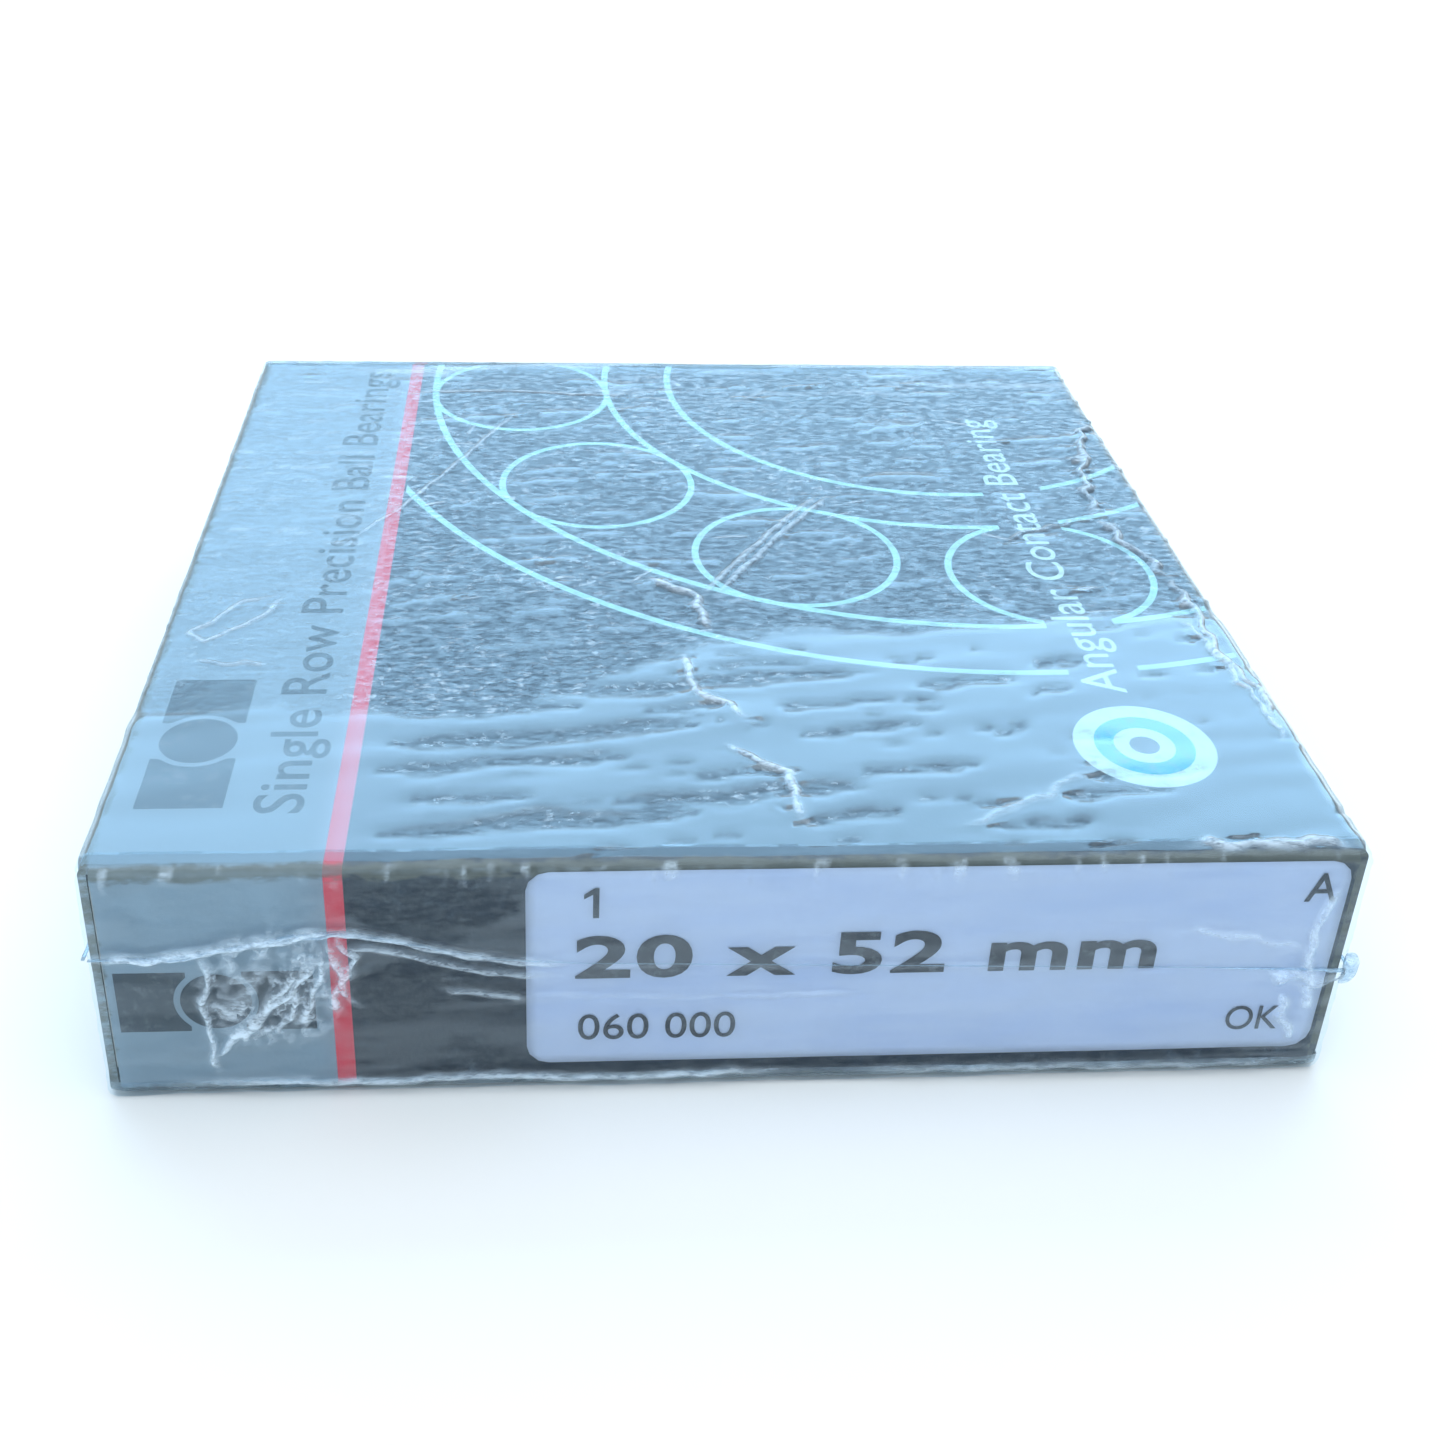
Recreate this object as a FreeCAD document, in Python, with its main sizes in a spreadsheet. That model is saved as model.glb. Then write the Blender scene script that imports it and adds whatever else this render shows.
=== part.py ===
import FreeCAD, Part

"""A single-row, 60 degree angular contact ball bearing in its sales pack.

The pack is a flat square tuck-end carton, sealed in heat-shrunk film, with a paper label on its front end.
Inside, the bearing lies flat in a heat-sealed pouch, with its axis upright and a folded leaflet on top.

Frame: millimetres, +Z up.  The origin is the centre of the face that the pack lies on.
-Y is the labelled end.
"""
import math
import os

import Sketcher

Vector = FreeCAD.Vector

# ------------------------------------------------------------------------------ driving dimensions
# alias, value in millimetres (or degrees, or a count), what it is
SIZES = [
    # carton
    ("CartonWidth", 78.0, "outside width of the folded carton, along X"),
    ("CartonDepth", 78.0, "outside depth over both closed ends, along Y"),
    ("CartonHeight", 17.5, "outside height, along Z"),
    ("Board", 0.5, "thickness of the printed folding board"),
    ("FoldRadius", 0.6, "outside radius of the carton's four long folds"),
    ("HingeRound", 0.45, "radius of an end panel's upper outer edge, where the board folds over"),
    ("BoardGap", 0.05, "gap between boards that lie against each other"),
    ("EndInset", 0.3, "gap beside a closed end panel"),
    ("TuckLength", 7.8, "how far a tuck flap reaches into the carton"),
    ("TuckCorner", 4.0, "radius of a tuck flap's free corners"),
    ("DustLength", 12.0, "length of a dust flap"),
    ("DustTaper", 2.5, "how much a dust flap narrows at its free end, each side"),
    ("DustDrop", 0.7, "space under and over a dust flap"),
    ("GlueLength", 60.0, "length of the glue flap"),
    ("GlueWidth", 11.0, "width of the glue flap"),
    # label
    ("LabelWidth", 50.8, "width of the paper label"),
    ("LabelHeight", 15.2, "height of the paper label"),
    ("LabelPaper", 0.1, "thickness of the label and its glue"),
    ("LabelCorner", 1.6, "corner radius of the label"),
    ("LabelMargin", 0.3, "gap from the label to the right and upper edges of the front end panel"),
    # shrink film
    ("Film", 0.05, "thickness of the shrunk film"),
    ("FilmGap", 0.05, "air gap between film and carton"),
    ("FilmSetback", 0.8, "how far the top sheet of film stops short of the hinged ends"),
    ("WeldHeight", 0.4, "height of the film's weld bead"),
    ("WeldProud", 0.5, "how far the weld bead stands out"),
    # pouch and leaflet
    ("PouchFilm", 0.1, "thickness of the pouch film"),
    ("PouchSide", 60.4, "side of the square pouch over its sealed rim"),
    ("PouchEase", 0.1, "gap between pouch and bearing"),
    ("LeafletSide", 56.0, "side of the folded leaflet"),
    ("Paper", 0.08, "thickness of the leaflet's paper"),
    ("PaperGap", 0.04, "air between the leaflet's folds"),
    ("LeafletLayers", 4, "number of folds of the leaflet"),
    # bearing
    ("BoreDiameter", 20.0, "bore of the inner ring"),
    ("OutsideDiameter", 52.0, "outside diameter of the outer ring"),
    ("RingWidth", 15.0, "width of both rings"),
    ("RingChamfer", 1.0, "chamfer at the bore and at the outside diameter"),
    ("LandChamfer", 0.35, "chamfer at the edges of the lands"),
    ("BallDiameter", 7.144, "ball diameter, 9/32 inch"),
    ("BallCount", 13, "number of balls"),
    ("PitchRadius", 18.0, "radius of the circle through the ball centres"),
    ("ContactAngle", 60.0, "contact angle, from the radial plane"),
    ("GrooveShare", 0.52, "raceway groove radius over ball diameter"),
    ("BallPlay", 0.05, "play between a ball and its raceways"),
    ("HighLandOffset", 0.85, "distance of the high lands from the pitch circle"),
    ("LowLandOffset", 3.45, "distance of the low lands from the pitch circle"),
    ("CageThickness", 2.8, "radial thickness of the cage"),
    ("CageHalfWidth", 6.6, "half the cage's width along the axis"),
    ("CageShoulder", 4.0, "where the cage's slanting band meets its two rims"),
    ("CageShift", 1.3, "radial offset of each rim from the pitch circle"),
    ("PocketPlay", 0.15, "play between a ball and its pocket"),
]
# alias, expression, what it is
DERIVED = [
    ("CartonBase", "Film + FilmGap", "height of the carton's underside"),
    ("CartonTop", "CartonBase + CartonHeight", "height of the carton's top face"),
    ("FloorTop", "CartonBase + Board", "height of the carton's inner floor"),
    ("SleeveLength", "CartonDepth - 2 * Board - 2 * BoardGap", "length of the folded tube"),
    ("EndWidth", "CartonWidth - 2 * Board - 2 * EndInset", "width of an end panel"),
    ("EndFoot", "FloorTop + BoardGap", "height of an end panel's lower edge"),
    ("PouchFloor", "FloorTop + FilmGap", "height of the pouch's underside"),
    ("BearingSeat", "PouchFloor + PouchFilm + FilmGap", "height of the bearing's lower face"),
    ("BearingCentre", "BearingSeat + RingWidth / 2", "height of the ball plane"),
    ("BallRadius", "BallDiameter / 2", "ball radius"),
    ("GrooveRadius", "GrooveShare * BallDiameter", "radius of the raceway grooves"),
    ("GrooveShift", "GrooveRadius - BallRadius - BallPlay", "groove centre from ball centre"),
]

doc = FreeCAD.newDocument("BearingPack")
sheet = doc.addObject("Spreadsheet::Sheet", "Sizes")
kept = []  # the objects that become files, in the order of making


def fill_sheet():
    """Writes the driving dimensions as plain numbers, then the sizes worked out from them."""
    row = 1
    for alias, value, note in SIZES:
        sheet.set(f"A{row}", note)
        sheet.set(f"B{row}", str(value))
        sheet.setAlias(f"B{row}", alias)
        row += 1
    for alias, rule, note in DERIVED:
        sheet.set(f"A{row}", note)
        sheet.set(f"B{row}", "=" + rule)
        sheet.setAlias(f"B{row}", alias)
        row += 1
    doc.recompute()


def size(rule):
    """The present value of a rule, worked out in a spare cell of the sheet."""
    sheet.set("D1", "=" + with_degrees(rule))
    sheet.recompute()
    value = float(sheet.get("D1"))
    sheet.clear("D1")
    return value


def with_degrees(rule):
    """The same rule with its angles marked as degrees."""
    return rule.replace("cos(", "cos(1deg * ").replace("sin(", "sin(1deg * ")


def in_sheet(rule):
    """The same rule as FreeCAD's expression engine reads it, with every alias found in the sheet."""
    words, word = [], ""
    aliases = {alias for alias, *_ in SIZES + DERIVED}
    for char in rule + " ":
        if char.isalnum() or char == ".":
            word += char
            continue
        words.append("Sizes." + word if word in aliases else word)
        words.append(char)
        word = ""
    return with_degrees("".join(words).strip())


# ------------------------------------------------------------------------------ building helpers
def place(thing, x="0", y="0", z="0"):
    """Binds an object's position to the sheet."""
    for axis, rule in zip("xyz", (x, y, z)):
        thing.setExpression(f".Placement.Base.{axis}", in_sheet(rule))


def keep(thing, label):
    """Names a finished sub-part after its file."""
    thing.Label = label
    kept.append(thing)
    return thing


def slab(name, width, depth, height, x, y, z):
    """A rectangular sheet or board, from its lowest corner; every argument is a rule."""
    box = doc.addObject("Part::Box", name)
    for side, rule in (("Length", width), ("Width", depth), ("Height", height)):
        box.setExpression(side, in_sheet(rule))
    place(box, x, y, z)
    return box


def origin_feature(body, role):
    return next(f for f in body.Origin.OriginFeatures if f.Role == role)


def sketch_on(body, role, name):
    sketch = body.newObject("Sketcher::SketchObject", name)
    sketch.AttachmentSupport = [(origin_feature(body, role), "")]
    sketch.MapMode = "FlatFace"
    return sketch


def outline(sketch, corners):
    """A closed outline through corners, each (x rule, y rule, arc).

    arc is None for a straight edge to the next corner, or (centre x rule, centre y rule, turn) for a round one,
    where turn is +1 for counter-clockwise and -1 for clockwise.  Every corner is bound to the sheet."""
    points = [Vector(size(x), size(y), 0) for x, y, _ in corners]
    first = sketch.GeometryCount
    for at, (_, _, arc) in enumerate(corners):
        start, end = points[at], points[(at + 1) % len(points)]
        if arc is None:
            sketch.addGeometry(Part.LineSegment(start, end), False)
            continue
        centre, turn = Vector(size(arc[0]), size(arc[1]), 0), arc[2]
        radius = (start - centre).Length
        low, high = (start, end) if turn > 0 else (end, start)
        angles = [math.atan2(p.y - centre.y, p.x - centre.x) for p in (low, high)]
        circle = Part.Circle(centre, Vector(0, 0, 1), radius)
        sketch.addGeometry(Part.ArcOfCircle(circle, *angles), False)
    for at, (x, y, arc) in enumerate(corners):
        here, after = first + at, first + (at + 1) % len(corners)
        start_of = 1 if arc is None or arc[2] > 0 else 2
        next_arc = corners[(at + 1) % len(corners)][2]
        start_of_next = 1 if next_arc is None or next_arc[2] > 0 else 2
        sketch.addConstraint(Sketcher.Constraint("Coincident", here, 3 - start_of, after, start_of_next))
        for kind, rule in (("DistanceX", x), ("DistanceY", y)):
            number = sketch.addConstraint(Sketcher.Constraint(kind, here, start_of, size(rule)))
            sketch.setExpression(f"Constraints[{number}]", in_sheet(rule))
        if arc is not None:
            number = sketch.addConstraint(Sketcher.Constraint("DistanceX", here, 3, size(arc[0])))
            sketch.setExpression(f"Constraints[{number}]", in_sheet(arc[0]))


def rectangle(sketch, left, right, low, high):
    outline(sketch, [(left, low, None), (right, low, None), (right, high, None), (left, high, None)])


def new_body(name):
    return doc.addObject("PartDesign::Body", name)


def pad(body, sketch, length, name="Pad", midplane=False, reverse=False):
    feature = body.newObject("PartDesign::Pad", name)
    feature.Profile = sketch
    feature.setExpression("Length", in_sheet(length))
    feature.Midplane = midplane
    feature.Reversed = reverse
    body.Tip = feature
    return feature


def revolve(body, sketch, name="Turned"):
    feature = body.newObject("PartDesign::Revolution", name)
    feature.Profile = sketch
    feature.ReferenceAxis = (sketch, ["V_Axis"])
    feature.Angle = 360
    body.Tip = feature
    return feature


def round_edges(body, base, chosen, radius, name="Rounded"):
    """Rounds the edges of base for which chosen(edge) is true."""
    doc.recompute()
    names = [f"Edge{n}" for n, edge in enumerate(base.Shape.Edges, 1) if chosen(edge)]
    feature = body.newObject("PartDesign::Fillet", name)
    feature.Base = (base, names)
    feature.setExpression("Radius", in_sheet(radius))
    body.Tip = feature
    return feature


def runs_along(edge, axis):
    """True for a straight edge parallel to a unit axis."""
    ends = [vertex.Point for vertex in edge.Vertexes]
    if len(ends) < 2 or edge.Curve.TypeId != "Part::GeomLine":
        return False
    return (ends[1] - ends[0]).normalize().cross(axis).Length < 1e-6


# ------------------------------------------------------------------------------ the carton
def carton_sleeve():
    """The four walls, folded from one blank into a tube that is open at its front and rear ends."""
    body = new_body("CartonSleeve")
    profile = sketch_on(body, "XZ_Plane", "SleeveProfile")
    rectangle(profile, "-CartonWidth / 2", "CartonWidth / 2", "CartonBase", "CartonTop")
    solid = pad(body, profile, "SleeveLength", "SleeveOutside", midplane=True)
    folds = round_edges(body, solid, lambda edge: runs_along(edge, Vector(0, 1, 0)), "FoldRadius", "Folds")
    doc.recompute()
    full = folds.Shape.Volume
    hollow = sketch_on(body, "XZ_Plane", "HollowProfile")
    side = "(CartonWidth / 2 - Board)"
    rectangle(hollow, f"-{side}", side, "FloorTop", "CartonTop - Board")
    cut = body.newObject("PartDesign::Pocket", "SleeveInside")
    cut.Profile = hollow
    cut.Type = "ThroughAll"
    cut.Midplane = True
    body.Tip = cut
    doc.recompute()
    if cut.Shape.Volume > 0.2 * full:
        raise RuntimeError("the sleeve's inside wasn't cut")
    return keep(body, "carton_sleeve")


def glue_flap():
    """The blank's fifth, narrow wall, glued inside the right-hand wall."""
    flap = slab(
        "GlueFlap", "Board", "GlueLength", "GlueWidth",
        "CartonWidth / 2 - 2 * Board - BoardGap", "-GlueLength / 2", "FloorTop + BoardGap",
    )
    return keep(flap, "glue_flap")


def carton_end(end, outward):
    """An end closure: panel, tuck flap and two dust flaps.  outward is -1 at the front and +1 at the rear."""
    panel = new_body(f"{end}Panel")
    profile = sketch_on(panel, "XZ_Plane", f"{end}PanelProfile")
    rectangle(profile, "-EndWidth / 2", "EndWidth / 2", "EndFoot", "CartonTop - BoardGap")
    board = pad(panel, profile, "Board", f"{end}PanelBoard", reverse=outward > 0)

    def folds_over(edge):
        box, middle = board.Shape.BoundBox, edge.CenterOfMass
        outer = middle.y < box.YMin + 1e-3 if outward < 0 else middle.y > box.YMax - 1e-3
        return runs_along(edge, Vector(1, 0, 0)) and outer and middle.z > box.ZMax - 1e-3

    round_edges(panel, board, folds_over, "HingeRound", "RoundedFold")
    place(panel, y="-(CartonDepth / 2 - Board)" if outward < 0 else "CartonDepth / 2 - Board")
    keep(panel, f"{end.lower()}_closure_panel")

    tuck = new_body(f"{end}Tuck")
    flap = sketch_on(tuck, "XY_Plane", f"{end}TuckOutline")
    side, inner = "(EndWidth / 2 - BoardGap)", "(TuckLength - BoardGap)"
    outline(
        flap,
        [
            (f"-{side}", "0", None),
            (side, "0", None),
            (side, f"{inner} - TuckCorner", (f"{side} - TuckCorner", f"{inner} - TuckCorner", 1)),
            (f"{side} - TuckCorner", inner, None),
            (f"-({side} - TuckCorner)", inner, (f"-({side} - TuckCorner)", f"{inner} - TuckCorner", 1)),
            (f"-{side}", f"{inner} - TuckCorner", None),
        ],
    )
    pad(tuck, flap, "Board", f"{end}TuckBoard")
    place(tuck, y="-(CartonDepth / 2 - Board)" if outward < 0 else "CartonDepth / 2 - Board", z="EndFoot")
    if outward > 0:
        tuck.setExpression(".Placement.Rotation.Angle", "180")
    keep(tuck, f"{end.lower()}_tuck_flap")

    for hand, name in ((-1, "Left"), (1, "Right")):
        dust = new_body(f"{end}{name}Dust")
        shape = sketch_on(dust, "XZ_Plane", f"{end}{name}DustOutline")
        low, high = "(EndFoot + Board + DustDrop)", "(CartonTop - Board - DustDrop)"
        near = "(CartonWidth / 2 - Board - BoardGap)"
        far = "(CartonWidth / 2 - Board - BoardGap - DustLength)"
        sign = "-" if hand < 0 else ""
        corners = [
            (f"{sign}{near}", low, None),
            (f"{sign}{near}", high, None),
            (f"{sign}{far}", f"{high} - DustTaper", None),
            (f"{sign}{far}", f"{low} + DustTaper", None),
        ]
        outline(shape, corners)
        pad(dust, shape, "Board", f"{end}{name}DustBoard", reverse=outward > 0)
        reach = "(CartonDepth / 2 - 2 * Board - 2 * BoardGap)"
        place(dust, y=f"-{reach}" if outward < 0 else reach)
        keep(dust, f"{end.lower()}_{name.lower()}_dust_flap")


def product_label():
    """The paper label, stuck on the front end panel near its right-hand edge."""
    body = new_body("Label")
    profile = sketch_on(body, "XZ_Plane", "LabelOutline")
    right, top = "(EndWidth / 2 - LabelMargin)", "(CartonTop - LabelMargin)"
    rectangle(profile, f"{right} - LabelWidth", right, f"{top} - LabelHeight", top)
    solid = pad(body, profile, "LabelPaper", "LabelPaperSheet")
    round_edges(body, solid, lambda edge: runs_along(edge, Vector(0, 1, 0)), "LabelCorner", "LabelCorners")
    place(body, y="-CartonDepth / 2")
    return keep(body, "product_label")


# ------------------------------------------------------------------------------ the shrink film
def shrink_film():
    """The shrunk film, one sheet to each face, and the weld bead that joins its upper and lower webs."""
    skin = "(CartonWidth / 2 + FilmGap)"
    front = "(CartonDepth / 2 + LabelPaper + FilmGap)"
    width, depth = f"2 * {skin} + 2 * Film", f"2 * {front}"
    over = "(CartonTop + FilmGap)"
    middle = "(CartonTop / 2 - WeldHeight / 2)"
    # the ends swing up past the top sheet, so it stops short of them
    reach = "(SleeveLength - 2 * FilmSetback)"
    keep(slab("FilmTop", width, reach, "Film", f"-{skin} - Film", f"-{reach} / 2", over), "film_top_sheet")
    keep(slab("FilmBottom", width, depth, "Film", f"-{skin} - Film", f"-{front}", "0"), "film_bottom_sheet")
    sides = (("Left", f"-{skin} - Film", f"-{skin} - Film - WeldProud"), ("Right", skin, f"{skin} + Film"))
    for hand, inner, outer in sides:
        wall = slab(f"Film{hand}", "Film", depth, f"{over} - Film", inner, f"-{front}", "Film")
        keep(wall, f"film_{hand.lower()}_sheet")
        bead = slab(f"Weld{hand}", "WeldProud", depth, "WeldHeight", outer, f"-{front}", middle)
        keep(bead, f"{hand.lower()}_film_weld")
    for end, at in (("Front", f"-{front} - Film"), ("Rear", front)):
        panel = slab(f"{end}Film", width, "Film", f"{over} - 2 * Film", f"-{skin} - Film", at, "Film")
        keep(panel, f"{end.lower()}_film_panel")
    bead = slab(
        "WeldFront", width, "WeldProud", "WeldHeight",
        f"-{skin} - Film", f"-{front} - Film - WeldProud", middle,
    )
    keep(bead, "front_film_weld")


# ------------------------------------------------------------------------------ pouch and leaflet
def pouch():
    """The heat-sealed pouch: a flat lower web, and an upper web drawn over the bearing to the sealed rim."""
    lower = slab(
        "PouchLower", "PouchSide", "PouchSide", "PouchFilm",
        "-PouchSide / 2", "-PouchSide / 2", "PouchFloor",
    )
    keep(lower, "pouch_lower_web")
    body = new_body("PouchUpper")
    rim = sketch_on(body, "XY_Plane", "RimOutline")
    rectangle(rim, "-PouchSide / 2", "PouchSide / 2", "-PouchSide / 2", "PouchSide / 2")
    radius = size("OutsideDiameter / 2 + PouchEase")
    hole = rim.addGeometry(Part.Circle(Vector(0, 0, 0), Vector(0, 0, 1), radius))
    rim.addConstraint(Sketcher.Constraint("Coincident", hole, 3, -1, 1))
    number = rim.addConstraint(Sketcher.Constraint("Radius", hole, size("OutsideDiameter / 2 + PouchEase")))
    rim.setExpression(f"Constraints[{number}]", in_sheet("OutsideDiameter / 2 + PouchEase"))
    pad(body, rim, "PouchFilm", "Rim")
    hat = sketch_on(body, "XZ_Plane", "HatProfile")
    wall = "(OutsideDiameter / 2 + PouchEase)"
    roof = "(FilmGap + RingWidth + PouchEase)"
    outline(
        hat,
        [
            (wall, "0", None),
            (f"{wall} + PouchFilm", "0", None),
            (f"{wall} + PouchFilm", f"{roof} + PouchFilm", None),
            ("0", f"{roof} + PouchFilm", None),
            ("0", roof, None),
            (wall, roof, None),
        ],
    )
    revolve(body, hat, "Hat")
    place(body, z="PouchFloor + PouchFilm")
    return keep(body, "pouch_upper_web")


def leaflet():
    """The leaflet: one strip of paper, folded to and fro into a square that lies on the pouch."""
    layers = int(size("LeafletLayers"))
    step = "(Paper + PaperGap)"
    base = "(BearingSeat + RingWidth + PouchEase + PouchFilm + FilmGap)"
    corner = "-LeafletSide / 2"
    sheets = []
    for layer in range(layers):
        level = f"{base} + {layer} * {step}"
        sheets.append(slab(f"Leaf{layer}", "LeafletSide", "LeafletSide", "Paper", corner, corner, level))
    for layer in range(layers - 1):
        level = f"{base} + {layer} * {step} + Paper"
        at = "LeafletSide / 2 - Paper" if layer % 2 == 0 else corner
        sheets.append(slab(f"Fold{layer}", "LeafletSide", "Paper", "PaperGap", corner, at, level))
    whole = doc.addObject("Part::MultiFuse", "Leaflet")
    whole.Shapes = sheets
    whole.Refine = True
    return keep(whole, "leaflet")


# ------------------------------------------------------------------------------ the bearing
def ring_profile(name, hand):
    """The section of a ring.  hand is +1 for the outer ring and -1 for the inner one, which is the same section
    turned half a turn about the ball centre, apart from its back."""
    body = new_body(name)
    profile = sketch_on(body, "XZ_Plane", f"{name}Profile")
    outer = hand > 0

    def r(rule):
        """A radius at a distance from the pitch circle, outwards on the outer ring and inwards on the inner."""
        return f"PitchRadius + ({rule})" if outer else f"PitchRadius - ({rule})"

    def z(rule):
        return rule if outer else f"-({rule})"

    groove_r = "(-(GrooveShift * cos(ContactAngle)))"
    groove_z = "(-(GrooveShift * sin(ContactAngle)))"
    high, low = "(HighLandOffset)", "(LowLandOffset)"
    back = "(OutsideDiameter / 2 - PitchRadius)" if outer else "(PitchRadius - BoreDiameter / 2)"
    high_rise = f"sqrt(GrooveRadius ^ 2 - (HighLandOffset - {groove_r}) ^ 2)"
    low_rise = f"sqrt(GrooveRadius ^ 2 - (LowLandOffset - {groove_r}) ^ 2)"
    face = "RingWidth / 2"
    corners = [
        (r(back), z(f"-({face} - RingChamfer)"), None),
        (r(back), z(f"{face} - RingChamfer"), None),
        (r(f"{back} - RingChamfer"), z(face), None),
        (r(f"{high} + LandChamfer"), z(face), None),
        (r(high), z(f"{face} - LandChamfer"), None),
        (r(high), z(f"{groove_z} + {high_rise}"), (r(groove_r), z(groove_z), -1)),
        (r(low), z(f"{groove_z} - {low_rise}"), None),
        (r(low), z(f"-({face} - LandChamfer)"), None),
        (r(f"{low} + LandChamfer"), z(f"-({face})"), None),
        (r(f"{back} - RingChamfer"), z(f"-({face})"), None),
    ]
    outline(profile, corners)
    revolve(body, profile, f"{name}Turned")
    place(body, z="BearingCentre")
    return body


def cage():
    """The moulded window cage: a slanting band with a rim at each side and a spherical pocket for each ball."""
    body = new_body("Cage")
    profile = sketch_on(body, "XZ_Plane", "CageProfile")
    half = "(CageThickness / 2)"
    wide, narrow = "PitchRadius + CageShift", "PitchRadius - CageShift"
    # drawn on the -X side, where the seam of the turned faces falls between two pockets
    corners = [
        (f"-({wide} - {half})", "-CageHalfWidth", None),
        (f"-({wide} + {half})", "-CageHalfWidth", None),
        (f"-({wide} + {half})", "-CageShoulder", None),
        (f"-({narrow} + {half})", "CageShoulder", None),
        (f"-({narrow} + {half})", "CageHalfWidth", None),
        (f"-({narrow} - {half})", "CageHalfWidth", None),
        (f"-({narrow} - {half})", "CageShoulder", None),
        (f"-({wide} - {half})", "-CageShoulder", None),
    ]
    outline(profile, corners)
    band = revolve(body, profile, "Band")
    doc.recompute()
    full = band.Shape.Volume
    pocket = body.newObject("PartDesign::SubtractiveSphere", "Pocket")
    pocket.AttachmentSupport = [(origin_feature(body, "YZ_Plane"), "")]
    pocket.MapMode = "FlatFace"
    pocket.setExpression("Radius", in_sheet("BallRadius + PocketPlay"))
    pocket.setExpression(".AttachmentOffset.Base.z", in_sheet("PitchRadius"))
    doc.recompute()
    body.Tip = pocket
    pockets = body.newObject("PartDesign::PolarPattern", "Pockets")
    pockets.Originals = [pocket]
    pockets.Axis = (origin_feature(body, "Z_Axis"), [""])
    pockets.Angle = 360
    pockets.setExpression("Occurrences", in_sheet("BallCount"))
    body.Tip = pockets
    doc.recompute()
    if pockets.Shape.Volume > full - size("BallCount") * 30:
        raise RuntimeError("the cage's pockets weren't all cut")
    place(body, z="BearingCentre")
    return keep(body, "cage")


def balls():
    """The balls, each a sub-part of its own, evenly spaced on the pitch circle."""
    count = int(size("BallCount"))
    for index in range(count):
        ball = doc.addObject("Part::Sphere", f"Ball{index + 1:02d}")
        ball.setExpression("Radius", in_sheet("BallRadius"))
        turn = f"{index} * 360 / BallCount"
        place(ball, f"PitchRadius * cos({turn})", f"PitchRadius * sin({turn})", "BearingCentre")
        keep(ball, f"ball_{index + 1:02d}")


# ------------------------------------------------------------------------------ build and write
def check_and_write():
    """Stops on any failed object or shape, then writes one file for each sub-part."""
    doc.recompute()
    for thing in doc.Objects:
        if "Invalid" in thing.State or "Error" in thing.State:
            raise RuntimeError(f"{thing.Label} failed: {thing.State}")
    os.makedirs("parts", exist_ok=True)
    for old in os.listdir("parts"):
        os.remove(os.path.join("parts", old))
    for thing in kept:
        shape = thing.Shape
        if shape.isNull() or not shape.isValid() or not shape.Solids:
            raise RuntimeError(f"{thing.Label} has no valid solid")
        shape.exportStep(os.path.join("parts", f"{thing.Label}.step"))
        box = shape.BoundBox
        print(
            f"{thing.Label:26s} {len(shape.Solids)} solid(s)  {shape.Volume:9.2f} mm3  "
            f"x {box.XMin:7.2f} {box.XMax:7.2f}  y {box.YMin:7.2f} {box.YMax:7.2f}  "
            f"z {box.ZMin:6.2f} {box.ZMax:6.2f}"
        )


fill_sheet()
carton_sleeve()
glue_flap()
carton_end("Front", -1)
carton_end("Rear", 1)
product_label()
shrink_film()
pouch()
leaflet()
keep(ring_profile("OuterRing", 1), "outer_ring")
keep(ring_profile("InnerRing", -1), "inner_ring")
cage()
balls()
check_and_write()
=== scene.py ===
# %% [markdown]
# # A bearing in its sealed sales pack
#
# The object is a flat square carton of printed board.  It is sealed in shrunk film, has a paper label on its
# front end, and holds an angular contact ball bearing in a pouch.  The CAD model gives every board, ring and
# ball its true size.  Here the pieces get their finish, and the soft and thin ones (film, ink, label, pouch)
# get the shape that a CAD solid can't hold.
#
# The order is: frame, camera, light, helpers, board, printing, label, film, pouch, bearing.

import math
import random

import bmesh
import bpy
import numpy as np
from mathutils import Matrix, Vector, noise


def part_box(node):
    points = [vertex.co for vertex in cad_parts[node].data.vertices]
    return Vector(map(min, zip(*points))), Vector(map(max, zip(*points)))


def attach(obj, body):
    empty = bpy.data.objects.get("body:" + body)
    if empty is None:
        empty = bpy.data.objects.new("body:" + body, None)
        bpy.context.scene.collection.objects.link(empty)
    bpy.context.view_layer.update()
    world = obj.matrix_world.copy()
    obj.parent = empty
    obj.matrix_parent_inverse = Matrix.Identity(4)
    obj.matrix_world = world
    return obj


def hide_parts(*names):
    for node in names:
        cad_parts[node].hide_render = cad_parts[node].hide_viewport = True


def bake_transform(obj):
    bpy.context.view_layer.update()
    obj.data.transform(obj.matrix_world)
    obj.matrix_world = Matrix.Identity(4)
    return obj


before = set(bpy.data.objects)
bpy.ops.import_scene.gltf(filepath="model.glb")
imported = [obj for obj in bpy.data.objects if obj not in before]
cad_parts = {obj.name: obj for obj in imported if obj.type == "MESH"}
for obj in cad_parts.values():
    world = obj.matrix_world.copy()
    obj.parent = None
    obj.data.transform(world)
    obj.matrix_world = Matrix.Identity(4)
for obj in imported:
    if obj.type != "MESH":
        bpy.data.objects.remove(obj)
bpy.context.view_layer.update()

# %% [markdown]
# Blender works in metres and this pack is small, so every shape below is drawn in millimetres and scaled once
# when it is finished.  The sizes that matter are read from the CAD nodes, so a change there carries over.

# %% Read the pack's sizes from the CAD, in millimetres
MM = 0.001


def corners_of(node):
    """The lowest and highest corner of a CAD node, in millimetres."""
    low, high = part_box(node)
    return Vector(low) / MM, Vector(high) / MM


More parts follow.
